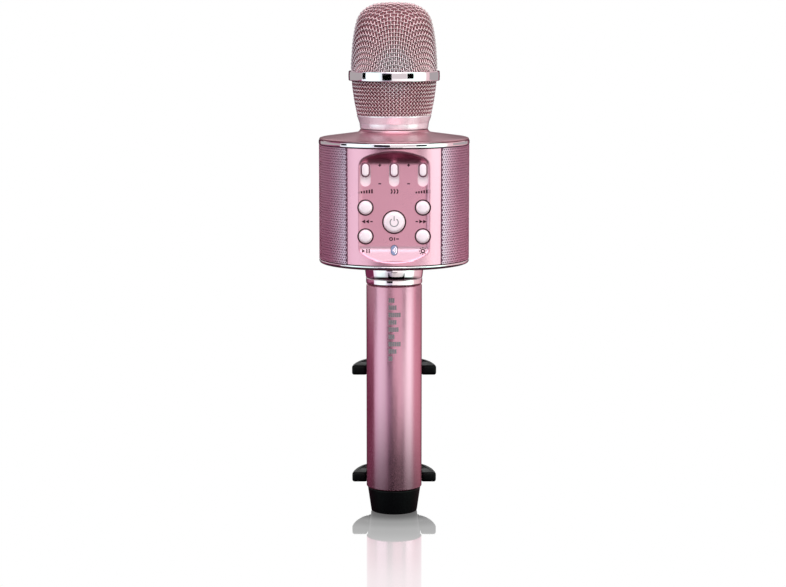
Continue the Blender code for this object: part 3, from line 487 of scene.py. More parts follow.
# (height share, radius share): an upright wall that turns into a flattened crown
CROWN = [(1.0, 0.0), (0.985, 0.370), (0.955, 0.540), (0.910, 0.670), (0.855, 0.765), (0.780, 0.842),
         (0.680, 0.893), (0.550, 0.936), (0.400, 0.967), (0.270, 0.983), (0.130, 0.998), (0.0, 1.0)]
MESH_SKIN = WIRE_R + WEAVE_RISE
dome_tall = HEAD_TOP - MESH_SKIN - BAND_TOP
dome_line = flowing([((HEAD_R - MESH_SKIN) * across, BAND_TOP + dome_tall * rise)
                     for rise, across in CROWN])
dome_line.append(Vector((HEAD_R - MESH_SKIN, BAND_TOP - 2 * MM)))


def travel(line):
    """The distance from the line's start at each of its points."""
    steps = [0.0]
    for here, there in zip(line, line[1:]):
        steps.append(steps[-1] + (there - here).length)
    return steps


dome_travel = travel(dome_line)
print("wire length from crown to rim, mm", round(dome_travel[-1] / MM, 1))


def along(line, steps, distance):
    """The point and the outward direction at a distance along an outline that runs from the crown down."""
    i = min(max(bisect.bisect_right(steps, distance) - 1, 0), len(line) - 2)
    t = (distance - steps[i]) / (steps[i + 1] - steps[i])
    spot = line[i].lerp(line[i + 1], min(max(t, 0.0), 1.0))
    way = (line[i + 1] - line[i]).normalized()
    return spot, Vector((-way.y, way.x))


# %% [markdown]
# Warp and weft pass over and under each other at every crossing. Each wire is a curve with a round
# bevel, turned into a mesh once all of them are drawn.

# %% Weave the dome
WEAVE_PITCH = 2.08 * MM
SAMPLES = 4  # points between two crossings


def wires_to_mesh(name, lines, radius):
    curve = bpy.data.curves.new(name, "CURVE")
    curve.dimensions = "3D"
    curve.bevel_depth = radius
    curve.bevel_resolution = 1
    curve.use_fill_caps = True
    for line in lines:
        spline = curve.splines.new("POLY")
        spline.points.add(len(line) - 1)
        for point, spot in zip(spline.points, line):
            point.co = (*spot, 1)
    piece = bpy.data.objects.new(name, curve)
    bpy.context.scene.collection.objects.link(piece)
    alone(piece)
    bpy.ops.object.convert(target="MESH")
    return bpy.context.object


def pressed_wires(turned, flip):
    reach = dome_travel[-1]
    count = int(reach / WEAVE_PITCH)
    lines = []
    for i in range(-count, count + 1):
        across = i * WEAVE_PITCH
        half = int(math.sqrt(max(reach ** 2 - across ** 2, 0)) / WEAVE_PITCH * SAMPLES)
        line = []
        for j in range(-half, half + 1):
            onward = j * WEAVE_PITCH / SAMPLES
            x, y = (onward, across) if turned else (across, onward)
            spot, out = along(dome_line, dome_travel, math.hypot(x, y))
            rise = flip * (-1) ** i * math.cos(math.pi * onward / WEAVE_PITCH)
            rise *= WEAVE_RISE * (1.25 if turned else 0.75)
            spot = spot + out * rise
            around = math.atan2(y, x)
            line.append((spot.x * math.cos(around), spot.x * math.sin(around), spot.y))
        if len(line) > 3:
            lines.append(line)
    return lines


settle(wires_to_mesh("dome_warp_wires", pressed_wires(False, 1), WIRE_R), WIRE,
       ["grille_upper"], smooth=80)
settle(wires_to_mesh("dome_weft_wires", pressed_wires(True, -1), WIRE_R), WIRE,
       smooth=80)

# %% [markdown]
# The rose wires get a painted silver reflection on the flanks of the head and in one patch on the front,
# just over the band. Two soft masks find those places in the object's own coordinates.

# %% Painted silver reflection on the wires
# Painted reflection: the wires turn silver on the flanks and in a patch over the band.
SILVER_REFLECTION_TINT = (0.72, 0.56, 0.60)
PATCH_X, PATCH_Y, PATCH_Z = 11 * MM, 16 * MM, 14 * MM  # half sizes of the patch on the front


def paint_silver_reflection(look):
    nodes, links, place, parts = own_place(look)
    width = maths(nodes, links, "ABSOLUTE", parts["X"])
    flank = smooth_mask(nodes, links, width, 0.74 * HEAD_R, 0.97 * HEAD_R)
    reach = distance_from(nodes, links, place, (1 / PATCH_X, 1 / PATCH_Y, 1 / PATCH_Z),
                          (0, HEAD_R / PATCH_Y, -BAND_TOP / PATCH_Z))
    patch = smooth_mask(nodes, links, reach, 1.15, 0.65)
    either = maths(nodes, links, "MAXIMUM", flank, patch)
    repaint(look, tinted(nodes, links, either, nodes["uneven"].outputs["Colour"], SILVER_REFLECTION_TINT))


paint_silver_reflection(WIRE)

# %% [markdown]
# Below the band the basket narrows like a cup. The same cloth was rolled here, so its wires run as two
# families of slanted lines that wind in opposite directions and cross in even diamonds.

# %% Weave the lower cup
cup_top, cup_low = BAND_LOW + 1.5 * MM, low("grille_lower")[2] + 0.6 * MM
CUP = [(1.0, 0.985), (0.80, 0.975), (0.60, 0.950), (0.42, 0.925), (0.26, 0.895), (0.12, 0.868),
       (0.0, 0.845)]
cup_line = flowing([((HEAD_R - MESH_SKIN) * across, cup_low + (cup_top - cup_low) * rise)
                    for rise, across in CUP])
cup_travel = travel(cup_line)
WINDERS = 66  # an even count, so that over and under still match after a full turn
slant = 1 / (0.92 * HEAD_R)
crossings = cup_travel[-1] * slant * WINDERS / math.pi


def winding_wires(way):
    lines = []
    for i in range(WINDERS):
        line = []
        for j in range(int(crossings * SAMPLES) + 1):
            distance = cup_travel[-1] * j / (crossings * SAMPLES)
            spot, out = along(cup_line, cup_travel, distance)
            spot = spot + out * (way * WEAVE_RISE * math.cos(math.pi * j / SAMPLES))
            angle = 2 * math.pi * i / WINDERS + way * slant * distance
            line.append((spot.x * math.sin(angle), -spot.x * math.cos(angle), spot.y))
        lines.append(line)
    return lines


CUP_WIRE_R = 0.84 * WIRE_R
settle(wires_to_mesh("cup_warp_wires", winding_wires(1), CUP_WIRE_R), WIRE, ["grille_lower"],
       smooth=80)
settle(wires_to_mesh("cup_weft_wires", winding_wires(-1), CUP_WIRE_R), WIRE, smooth=80)

# %% [markdown]
# Behind the wires sits open foam that keeps breath off the capsule. It is what gives the head its dusty
# colour, so it follows the wires closely, a little way in.

# %% Foam behind the wires
FOAM_GAP = 2 * MESH_SKIN + 0.15 * MM
FOAM_THICK = 2 * MM
foam_r, foam_top = HEAD_R - FOAM_GAP, HEAD_TOP - FOAM_GAP
foam_skin = [(foam_r * across, BAND_TOP + (foam_top - BAND_TOP) * rise) for rise, across in CROWN]
foam_skin = [tuple(spot) for spot in flowing(foam_skin, 3)] + [(foam_r, low("foam_liner")[2])]
foam_back = [(max(r - FOAM_THICK, 0.0), z - FOAM_THICK * (z > BAND_TOP))
             for r, z in reversed(foam_skin[::3])]
foam = spun("foam_windscreen", foam_skin + foam_back[1:-1] + [(0.0, foam_top - FOAM_THICK)], steps=96)
settle(foam, FOAM, ["foam_liner"])
sleeve_line = [(spot.x - MESH_SKIN - 0.2 * MM, spot.y) for spot in cup_line]
sleeve_back = [(r - FOAM_THICK, z) for r, z in reversed(sleeve_line)]
sleeve = spun("foam_sleeve", sleeve_line + sleeve_back, steps=96)
settle(sleeve, FOAM)

# %% [markdown]
# The polished band clamps both halves of the basket. Its edges are rolled, so it takes a bright line at
# the top and another at the bottom. The collar under it screws onto the neck.

# %% Band and collar
band = [
    (BAND_R - 0.15 * MM, BAND_LOW), (BAND_R, (BAND_LOW + BAND_TOP) / 2), (BAND_R - 0.15 * MM, BAND_TOP),
    (HEAD_R + 0.1 * MM, BAND_TOP), (HEAD_R + 0.1 * MM, BAND_LOW),
]
settle(spun("head_band_ring", soften(band, 0.75 * MM, cuts=6)), CHROME, ["head_band"])
neck_r = COLLAR_R - 1.75 * MM
collar = [
    *shifted(neck_r, COLLAR_LOW, (-0.1, 0), (0.05, 0.5), (0.35, 3)),
    *shifted(COLLAR_R, COLLAR_TOP, (-0.1, -0.5), (-0.15, 0), (-0.7, 0), (-2.6, -3)),
    (COLLAR_R - 2.6 * MM, COLLAR_LOW),
]
settle(spun("head_collar_ring", soften(collar, 0.5 * MM)), COLLAR, ["head_collar"])

# %% [markdown]
# ## The speaker drum
# The drum is a thin shell of rose aluminium between two mirror rings. Its lid rises in a shallow cone
# to the neck, with a small hollow curve where the two meet.

# %% Drum lid and rings
lid_low = low("drum_top_cover")[2]
lid_edge = TRIM_TOP + 0.35 * MM
lid_turn = 0.76 * DRUM_R
lid = [
    *shifted(neck_r, DOME_TOP, (0, 0), (0.15, -0.6), (1.0, -1.5), (2.9, -1.95)),
    (lid_turn, TRIM_TOP + 2.0 * MM),
    *shifted(DRUM_R, TRIM_TOP, (-1.7, 0.95), (-0.5, 0.6)),
    *shifted(DRUM_R, lid_edge, (-0.15, -0.2), (-3.1, -0.2)),
    *shifted(DRUM_R, lid_low, (-3.1, 0), (-4.4, 0)),
    *shifted(DRUM_R, TRIM_TOP, (-4.4, -0.6)),
    (lid_turn, TRIM_TOP + 0.4 * MM),
    *shifted(neck_r, DOME_TOP, (2.9, -3.6), (-2.1, -3.6), (-2.1, 0)),
]
settle(spun("drum_lid", soften(lid, 0.45 * MM), 160), ROSE, ["drum_top_cover"])
upper = [
    *shifted(DRUM_R, PANEL_HIGH, (-2.7, 0.3), (0, 0.3), (0.08, 1.4)),
    *shifted(DRUM_R, TRIM_TOP, (0.02, -0.45), (-0.6, 0), (-2.7, 0)),
]
settle(spun("upper_trim_ring", soften(upper, 0.35 * MM), 160), CHROME, ["top_trim"])
under = [
    *shifted(DRUM_R, DRUM_LOW, (-2.7, 0), (-1.5, 0), (-0.45, 0.4), (-0.02, 1.3)),
    *shifted(DRUM_R, PANEL_LOW, (-0.02, -0.3), (-2.7, -0.3)),
]
settle(spun("lower_trim_ring", soften(under, 0.5 * MM), 160), CHROME, ["bottom_trim"])

# %% [markdown]
# The control panel is the one difficult shape: a slice of the round drum with a shallow tray pressed
# into it. A grid primitive is laid over the front, and each of its points is pushed to the deeper of
# two surfaces, the round skin and the tray, blended where they meet so that every edge is a soft
# fillet.

# %% Panel surface
TRAY_HALF = 0.512 * DRUM_R
TRAY_LOW = PANEL_LOW + 0.026 * PANEL_TALL
TRAY_HIGH = PANEL_LOW + 0.980 * PANEL_TALL
TRAY_CORNER = 8 * MM


def blend_high(a, b, width):
    """The higher of two values, rounded over where they are close."""
    h = max(width - abs(a - b), 0.0) / width
    return max(a, b) + h * h * width / 4


def inside_tray(x, z):
    """How far a point lies inside the tray's rounded outline."""
    half_z, middle = (TRAY_HIGH - TRAY_LOW) / 2, (TRAY_HIGH + TRAY_LOW) / 2
    qx, qz = abs(x) - TRAY_HALF + TRAY_CORNER, abs(z - middle) - half_z + TRAY_CORNER
    return TRAY_CORNER - math.hypot(max(qx, 0), max(qz, 0)) - min(max(qx, qz), 0)


def panel_y(x, z):
    skin = -math.sqrt(DRUM_R ** 2 - x * x)
    top_wall = 0.93 * (z - (TRAY_HIGH - 5.5 * MM))
    low_wall = 0.060 / MM * max(TRAY_LOW + 9.5 * MM - z, 0) ** 2
    corner_wall = 1.1 * (2.6 * MM - inside_tray(x, z))
    climb = blend_high(top_wall, corner_wall, 3.0 * MM)
    groove = math.exp(-((inside_tray(x, z) - 1.1 * MM) / (0.42 * MM)) ** 2) * (z < TRAY_HIGH - 4.5 * MM)
    walls = blend_high(blend_high(climb, 0.0, 2.2 * MM), low_wall, 0.5 * MM)
    return blend_high(skin, FLOOR_Y - walls + 0.30 * MM * groove, 0.55 * MM)


def panel_back(x):
    return max(FLOOR_Y + 1.0 * MM, -math.sqrt((DRUM_R - 1.6 * MM) ** 2 - x * x))


clear_selection()
bpy.ops.mesh.primitive_grid_add(x_subdivisions=180, y_subdivisions=210, size=1.0)
panel = bpy.context.object
panel.name = "control_panel"
for vertex in panel.data.vertices:
    x = vertex.co.x * 2 * (PANEL_HALF - 0.4 * MM)
    z = (PANEL_LOW + PANEL_HIGH) / 2 + vertex.co.y * (PANEL_TALL - 0.3 * MM)
    vertex.co = (x, panel_y(x, z), z)
edit_all()
bpy.ops.mesh.extrude_region_move(TRANSFORM_OT_translate={"value": (0, 30 * MM, 0)})
bpy.ops.object.mode_set(mode="OBJECT")
for vertex in panel.data.vertices:
    if vertex.select:
        vertex.co.y = panel_back(vertex.co.x)
outward(panel)
print("panel points", len(panel.data.vertices))

# %% [markdown]
# The tray's upper wall gets a painted shade of deep maroon, and its lower lip a painted duller, paler rose
# that tones down its bright reflection. The material finds both by height, and by how far a point lies
# inside the drum's round skin.

# %% Painted shade on the walls of the tray
# Painted shade: deep maroon on the upper wall, a dull rose on the lower lip.
WALL_SHADE_MAROON = (0.36, 0.075, 0.14)
LIP_SHADE_ROSE = (0.50, 0.31, 0.37)


def paint_tray_shade(look):
    nodes, links, place, parts = own_place(look)
    reach = distance_from(nodes, links, place, (1, 1, 0), (0, 0, 0))
    pressed = smooth_mask(nodes, links, reach, DRUM_R - 0.15 * MM, DRUM_R - 0.9 * MM)
    colour = nodes["uneven"].outputs["Colour"]
    for start, stop, tint in ((TRAY_HIGH - 8.5 * MM, TRAY_HIGH - 3.0 * MM, WALL_SHADE_MAROON),
                              (TRAY_LOW + 9.2 * MM, TRAY_LOW + 7.2 * MM, LIP_SHADE_ROSE)):
        wall = smooth_mask(nodes, links, parts["Z"], start, stop)
        colour = tinted(nodes, links, maths(nodes, links, "MULTIPLY", wall, pressed), colour, tint)
    repaint(look, colour)


paint_tray_shade(ROSE_PANEL)

# %% [markdown]
# Slots and round holes are cut with one combined cutter. A small gap is left around each control,
# because that dark line is what makes the controls read as separate pieces.

# %% Cut the controls' openings
def at(share):
    """The height at a share of the panel, from its foot up."""
    return PANEL_LOW + share * PANEL_TALL


SLOT_LOW, SLOT_HIGH = at(0.674), at(0.885)
UPPER_ROW, LOWER_ROW = at(0.495), at(0.248)
BUTTON_R = 0.068 * PANEL_TALL
POWER_R = 0.101 * PANEL_TALL
COLUMNS = {"mic": -COLUMN_X, "echo": 0.0, "volume": COLUMN_X}
CUT_START, CUT_DEPTH = FLOOR_Y - 6 * MM, 10 * MM
BUTTONS = {
    "previous": (-COLUMN_X, UPPER_ROW, BUTTON_R),
    "next": (COLUMN_X, UPPER_ROW, BUTTON_R),
    "play": (-COLUMN_X, LOWER_ROW, BUTTON_R),
    "light": (COLUMN_X, LOWER_ROW, BUTTON_R),
    "power": (0.0, at(0.371), POWER_R),
}


def ring_points(x, z, r, count=48):
    return [(x + r * math.cos(2 * math.pi * k / count), z + r * math.sin(2 * math.pi * k / count))
            for k in range(count)]


LENS = (0.0, at(0.131))
openings = {f"slot_{use}": pill(x, (SLOT_LOW + SLOT_HIGH) / 2, 5.4 * MM, SLOT_HIGH - SLOT_LOW)
            for use, x in COLUMNS.items()}
openings.update({f"hole_{use}": ring_points(x, z, r + 0.15 * MM) for use, (x, z, r) in BUTTONS.items()})
openings["lens_hole"] = pill(*LENS, 3.7 * MM, 5.4 * MM)
cutters = [slab(name, outline, CUT_START, CUT_DEPTH) for name, outline in openings.items()]
carve(panel, merged("panel_cutters", cutters))
settle(panel, ROSE_PANEL, ["front_panel"], smooth=28)

# %% [markdown]
# ## The controls
# Each round button is a small turned cap with a wide chamfer round a faintly domed face. The chamfer
# faces away from the light, so it shows as a dark ring. The caps are spun upright, then laid to face
# forwards.

# %% Buttons
def face_front(piece, x, z):
    piece.rotation_euler = (math.pi / 2, 0, 0)
    piece.location = (x, FLOOR_Y, z)
    return piece


for use, (x, z, r) in BUTTONS.items():
    rim = r - 0.60 * MM
    edge = 0.75 * MM if use != "power" else 0.95 * MM
    cap = [(rim * 0.5, 1.70 * MM), (rim - edge - 0.3 * MM, 1.55 * MM), (rim - edge, 1.40 * MM),
           (rim - 0.1 * MM, 0.45 * MM), (rim, 0.1 * MM), (rim, -2.4 * MM)]
    outline = soften(cap, 0.2 * MM, closed=False) + [(0, -2.4 * MM), (0, 1.75 * MM)]
    button = face_front(spun(f"cap_{use}", outline, steps=64), x, z)
    settle(button, PEARL_WITH_GLOW, [f"button_{use}"], body=f"button_{use}")

# %% [markdown]
# Each slider has a raised pill to push, on a skirt that fills the slot behind it. The skirt is as long
# as the slot plus the travel, so no gap opens when the pill is moved down.

# %% Sliders
travel_down = 0.08 * PANEL_TALL
for use, x in COLUMNS.items():
    knob_tall = SLOT_HIGH - SLOT_LOW - travel_down - 0.1 * MM
    knob_z = SLOT_HIGH - knob_tall / 2 - 0.1 * MM
    # The dark base pill is a painted shadow outline round the pearl nose.
    base = slab(f"knob_base_{use}", pill(x, knob_z, 4.7 * MM, knob_tall), FLOOR_Y - 0.7 * MM, 2.2 * MM,
                bevel=0.3 * MM)
    settle(base, KNOB_SHADOW_OUTLINE, body=f"slider_{use}")
    nose = slab(f"knob_nose_{use}", pill(x, knob_z, 3.4 * MM, knob_tall - 1.6 * MM), FLOOR_Y - 2.0 * MM,
                2.0 * MM, bevel=0.5 * MM)
    skirt_low, skirt_high = SLOT_LOW - 0.5 * MM, SLOT_HIGH + travel_down + 0.2 * MM
    outline = pill(x, (skirt_low + skirt_high) / 2, 7.3 * MM, skirt_high - skirt_low, 1 * MM, 3)
    skirt = slab(f"knob_skirt_{use}", outline, FLOOR_Y + 1.15 * MM, 0.6 * MM)
    settle(merged(f"slider_knob_{use}", [nose, skirt]), PEARL_WITH_GLOW, [f"slider_{use}"],
           body=f"slider_{use}")

# %% [markdown]
# A dark sheet behind each round hole is painted shadow: it stands in for the shade in the gap round its
# button, so the gap reads as a clean dark ring.

# %% Painted gap shadows and status lens
for use, (x, z, r) in BUTTONS.items():
    # A dark sheet of painted shadow behind the hole.
    shade_sheet = slab(f"gap_shadow_sheet_{use}", ring_points(x, z, r + 1.1 * MM), FLOOR_Y + 1.1 * MM, 0.5 * MM)
    carve(shade_sheet, slab("gap_shadow_hole", ring_points(x, z, r - 0.35 * MM), FLOOR_Y, 3 * MM))
    settle(shade_sheet, SHADOW)
LENS_LOW_Y, LENS_HIGH_Y = (panel_y(0, LENS[1] + step * MM) for step in (-2.5, 2.5))


def lens_y(_, z):
    share = (z - LENS[1]) / (5.0 * MM) + 0.5
    return LENS_LOW_Y + share * (LENS_HIGH_Y - LENS_LOW_Y)


lens_piece = slab("wireless_lens", pill(*LENS, 3.3 * MM, 5.0 * MM, steps=10), FLOOR_Y + 2.2 * MM, -0.2 * MM)
for vertex in lens_piece.data.vertices:
    if vertex.co.y < FLOOR_Y + 2.1 * MM:
        vertex.co.y = lens_y(vertex.co.x, vertex.co.z)
outward(lens_piece)
settle(lens_piece, BLUE, ["status_lens"])
print("controls done")

# %% [markdown]
# ## The side grilles
# Each side of the drum is a thin sheet with staggered holes. One cell is a flat six-sided ring: a
# circle, an inset and the middle face deleted. Two Array modifiers repeat it, a merge joins the cells,
# an extrude gives the sheet its thickness, and then the flat sheet is rolled onto the drum.

# %% Perforated sheet
GRILLE_PITCH = 1.46 * MM
HOLE_R = 0.43 * MM
ROW_PITCH = GRILLE_PITCH * math.sqrt(3) / 2
PANEL_TURN = math.asin(PANEL_HALF / DRUM_R)
SPINE_TURN = math.radians(16)
SEAM_TURN = 0.35 * MM / DRUM_R
GRILLE_R = DRUM_R - 0.05 * MM
SHEET_THICK = 0.35 * MM
# Painted highlight: the grille pales to lilac near the front seams.
SEAM_HIGHLIGHT_LILAC = (0.95, 0.66, 0.82)


def paint_seam_highlight(look):
    """A painted highlight pales the sheet to lilac towards the seams by the front panel."""
    nodes, links, _, parts = own_place(look)
    seam = smooth_mask(nodes, links, parts["Y"], -0.48 * DRUM_R, -0.80 * DRUM_R)
    repaint(look, tinted(nodes, links, seam, nodes["uneven"].outputs["Colour"], SEAM_HIGHLIGHT_LILAC))


paint_seam_highlight(MAUVE)


def perforated_sheet(name, side):
    first, last = PANEL_TURN + SEAM_TURN, math.pi - SPINE_TURN - SEAM_TURN
    length, tall = (last - first) * GRILLE_R, PANEL_TALL - 0.2 * MM
    columns = int(length / GRILLE_PITCH)
    row_pitch = tall / (int(tall / ROW_PITCH / 2) * 2 + 1 / 3)
    pairs = int(tall / row_pitch / 2)
    clear_selection()
    bpy.ops.mesh.primitive_circle_add(vertices=6, radius=GRILLE_PITCH / math.sqrt(3), fill_type="NGON",
                                      rotation=(0, 0, math.radians(30)))
    sheet = bpy.context.object
    sheet.name = name
    alone(sheet)
    bpy.ops.object.transform_apply(location=True, rotation=True, scale=True)
    edit_all()
    bpy.ops.mesh.inset(thickness=GRILLE_PITCH / 2 - HOLE_R)
    bpy.ops.mesh.delete(type="FACE")
    bpy.ops.mesh.select_all(action="SELECT")
    bpy.ops.mesh.duplicate_move(TRANSFORM_OT_translate={"value": (GRILLE_PITCH / 2, ROW_PITCH, 0)})
    bpy.ops.object.mode_set(mode="OBJECT")
    apply(sheet, "ARRAY", count=columns, use_relative_offset=False, use_constant_offset=True,
          constant_offset_displace=(GRILLE_PITCH, 0, 0))
    apply(sheet, "ARRAY", count=pairs, use_relative_offset=False, use_constant_offset=True,
          constant_offset_displace=(0, 2 * ROW_PITCH, 0))
    edit_all()
    bpy.ops.mesh.remove_doubles(threshold=0.04 * MM)
    bpy.ops.mesh.extrude_region_move(TRANSFORM_OT_translate={"value": (0, 0, SHEET_THICK)})
    bpy.ops.object.mode_set(mode="OBJECT")
    flat = [vertex.co.copy() for vertex in sheet.data.vertices]
    x_low, x_high = min(p.x for p in flat), max(p.x for p in flat)
    y_low, y_high = min(p.y for p in flat), max(p.y for p in flat)
    for vertex, p in zip(sheet.data.vertices, flat):
        turn = side * (first + (p.x - x_low) / (x_high - x_low) * (last - first))
        r = GRILLE_R - SHEET_THICK + p.z
        z = PANEL_LOW + 0.1 * MM + (p.y - y_low) / (y_high - y_low) * tall
        vertex.co = (r * math.sin(turn), -r * math.cos(turn), z)
    outward(sheet)
    return sheet


for side, word in ((1, "right"), (-1, "left")):
    settle(perforated_sheet(f"side_grille_{word}", side), MAUVE, [f"grille_{word}"],
           smooth=30)
    ends = sorted((side * (PANEL_TURN + SEAM_TURN), side * (math.pi - SPINE_TURN - SEAM_TURN)))
    lining = [(DRUM_R - 1.0 * MM, PANEL_LOW), (DRUM_R - 0.65 * MM, PANEL_LOW),
              (DRUM_R - 0.65 * MM, PANEL_HIGH), (DRUM_R - 1.0 * MM, PANEL_HIGH)]
    settle(spun(f"grille_lining_{word}", lining, 72, ends), LINING)

# %% [markdown]
# The back of the drum is a narrow rose spine with three sockets. Its openings are cut like the front's.

# %% Rear spine
spine_line = [(DRUM_R - 1.6 * MM, PANEL_LOW), (DRUM_R, PANEL_LOW), (DRUM_R, PANEL_HIGH),
              (DRUM_R - 1.6 * MM, PANEL_HIGH)]
spine = spun("rear_spine", soften(spine_line, 0.3 * MM), 40, (math.pi - SPINE_TURN, math.pi + SPINE_TURN))
charge_z, card_z, aux_z = (PANEL_LOW + share * PANEL_TALL for share in (0.20, 0.34, 0.48))
ports = [
    slab("charge_cut", pill(0, charge_z, 9.6 * MM, 3.8 * MM), DRUM_R - 5 * MM, 8 * MM),
    slab("card_cut", pill(0, card_z, 12.4 * MM, 2.2 * MM, 0.4 * MM), DRUM_R - 5 * MM, 8 * MM),
    slab("aux_cut", ring_points(0, aux_z, 3.1 * MM), DRUM_R - 5 * MM, 8 * MM),
]
carve(spine, merged("port_cutters", ports))
settle(spine, ROSE, ["rear_panel"], smooth=30)

# %% [markdown]
# ## Handle, neck ring and foot
# The tube is one straight piece with a bright turned edge at each end. The neck ring above it is a
# mirror with two bands: a flared one under the drum and a narrow one that meets the tube.

# %% Handle
TUBE_LOW = low("handle_tube")[2]
tube = [
    *shifted(HANDLE_R, TUBE_LOW, (-0.45, 0), (0, 0.45)),
    *shifted(HANDLE_R, TUBE_TOP, (0, -0.5), (-0.5, 0), (-1.6, 0)),
    (HANDLE_R - 1.6 * MM, TUBE_LOW),
]
settle(spun("handle_sleeve", soften(tube, 0.12 * MM, cuts=2)), HANDLE_ROSE, ["handle_tube"],
       smooth=50)
neck_low, neck_high = TUBE_TOP + 0.3 * MM, high("lower_neck")[2]
ring_high = DRUM_LOW - 0.3 * MM
inner = HANDLE_R - 1.9 * MM
ring = [
    *shifted(HANDLE_R, ring_high, (0.45, 0), (0.75, -0.3)),
    *shifted(HANDLE_R, neck_low, (0.72, 7.6), (0.45, 4.8), (0.22, 3.5), (-0.05, 3.2), (0.18, 2.9),
             (0.15, 0.4), (-0.15, 0)),
    *shifted(inner, neck_low, (0, 0), (0, -8), (-1.6, -8)),
    (inner - 1.6 * MM, neck_high), (inner, neck_high), (inner, ring_high),
]
settle(spun("neck_ring", soften(ring, 0.35 * MM)), ROSE_CHROME, ["lower_neck"])
foot_r = high("end_cap")[0]
foot = [
    (0, 0), *shifted(foot_r, 0, (-2.9, 0), (-1.9, 0.3)),
    *shifted(foot_r, CAP_TOP, (-0.1, -0.9), (-0.25, -0.3), (-1.4, -0.3), (-1.4, 8), (-3.0, 8)),
    *shifted(foot_r, 0, (-4.2, 4)), (0, 4 * MM),
]
foot_outline = soften(foot, 0.5 * MM, closed=False)
settle(spun("foot_cap", foot_outline, closed=False), BLACK, ["end_cap"])

# %% [markdown]
# ## The phone clamp
# Behind the handle a frame holds two sliding jaws. Each jaw is a flat leaf with two hooked claws. The
# claws have well rounded edges, so they show a thin bright line where the light catches them.

# %% Clamp
CLAMP_LOW, CLAMP_HIGH = low("jaw_left")[2], high("jaw_left")[2]
FINGER_TALL = 5.3 * MM
FRAME_HALF = high("clamp_frame")[0]
FRAME_FRONT, FRAME_BACK = low("clamp_frame")[1], high("clamp_frame")[1]
JAW_REACH = high("jaw_right")[0]
LEAF = 2.0 * MM
CLAW_Y = low("jaw_left")[1]
CLAW = [(1.0, 0.0), (0.978, 5.0), (0.939, 9.9), (0.883, 14.8), (0.783, 20.5), (0.648, 24.6),
        (0.540, 23.3), (0.650, 18.6), (0.720, 14.2), (0.735, 12.6)]
root = FRAME_HALF + 0.3 * MM
for side, word, leaf_y in ((-1, "left", FRAME_FRONT + 1.8 * MM), (1, "right", FRAME_FRONT + 4.1 * MM)):
    claw = [(side * JAW_REACH * across, CLAW_Y + back * MM) for across, back in CLAW]
    claw += [(side * root, FRAME_BACK), (side * root, CLAW_Y)]
    claw = soften(claw, 1.7 * MM, cuts=3)
    if side < 0:
        claw.reverse()
    parts = [slab(f"claw_{word}_{place}", claw, z, FINGER_TALL, "XY", bevel=1.2 * MM, bevel_steps=4)
             for place, z in (("low", CLAMP_LOW), ("high", CLAMP_HIGH - FINGER_TALL))]
    tall = CLAMP_HIGH - CLAMP_LOW - 2 * MM
    middle_x = side * (root - 0.68 * FRAME_HALF + 0.3 * MM) / 2
    leaf_wide = root + 0.68 * FRAME_HALF - 0.6 * MM
    leaf = slab(f"leaf_{word}", pill(middle_x, (CLAMP_LOW + CLAMP_HIGH) / 2, leaf_wide, tall, 1 * MM, 4),
                leaf_y, LEAF, bevel=0.3 * MM)
    arms = [slab(f"arm_{word}_{place}", pill(side * (root + 0.7 * MM), z, 2.6 * MM, FINGER_TALL - 0.6 * MM,
                                             0.6 * MM, 3), leaf_y, LEAF, bevel=0.3 * MM)
            for place, z in (("low", CLAMP_LOW + FINGER_TALL / 2), ("high", CLAMP_HIGH - FINGER_TALL / 2))]
    settle(merged(f"clamp_jaw_{word}", [leaf, *parts, *arms]), BLACK, [f"jaw_{word}"], body=f"jaw_{word}",
           smooth=40)
frame_low, frame_high = low("clamp_frame")[2], high("clamp_frame")[2]
rails = []
plate = pill(0, (frame_low + frame_high) / 2, 2 * FRAME_HALF, frame_high - frame_low, 1.2 * MM, 5)
for name, start in (("front", FRAME_FRONT), ("back", FRAME_BACK - 1.5 * MM)):
    rails.append(slab(f"plate_{name}", plate, start, 1.5 * MM, bevel=0.35 * MM))
for name, z0 in (("low", frame_low), ("high", frame_high - 1.6 * MM)):
    bridge = [(FRAME_HALF - 1 * MM, FRAME_FRONT + MM), (FRAME_HALF - 1 * MM, FRAME_BACK - MM),
              (1 * MM - FRAME_HALF, FRAME_BACK - MM), (1 * MM - FRAME_HALF, FRAME_FRONT + MM)]
    rails.append(slab(f"bridge_{name}", bridge, z0, 1.6 * MM, "XY"))
settle(merged("clamp_housing", rails), BLACK, ["clamp_frame"])

# %% [markdown]
# ## Printed marks
# The marks are thin flat shapes just proud of the surface. They are generic signs: plus and minus,
# arrows, a power sign, and level bars down the handle.

# %% Prints
PRINT = 0.05 * MM


def mark_on(surface_y, name, shapes, ink, body=ROOT):
    """Flat shapes (x, z outlines) laid on a surface, all one piece."""
    marks = []
    for index, shape in enumerate(shapes):
        mark = slab(f"{name}_{index}", shape, 0.0, 2 * PRINT)
        for vertex in mark.data.vertices:
            vertex.co.y += surface_y(vertex.co.x, vertex.co.z) - PRINT
        marks.append(mark)
    piece = merged(name, marks)
    outward(piece)
    return settle(piece, ink, body=body)


def bar(x, z, width, height):
    return [(x - width / 2, z - height / 2), (x + width / 2, z - height / 2),
            (x + width / 2, z + height / 2), (x - width / 2, z + height / 2)]


def arrow(x, z, wide, tall, way):
    return [(x - way * wide / 2, z - tall / 2), (x + way * wide / 2, z), (x - way * wide / 2, z + tall / 2)]


def arc_band(x, z, radius, thick, first, last, steps=20):
    turns = [math.radians(first + (last - first) * k / steps) for k in range(steps + 1)]
    rows = ((radius + thick / 2, turns), (radius - thick / 2, turns[::-1]))
    return [(x + r * math.cos(a), z + r * math.sin(a)) for r, angles in rows for a in angles]


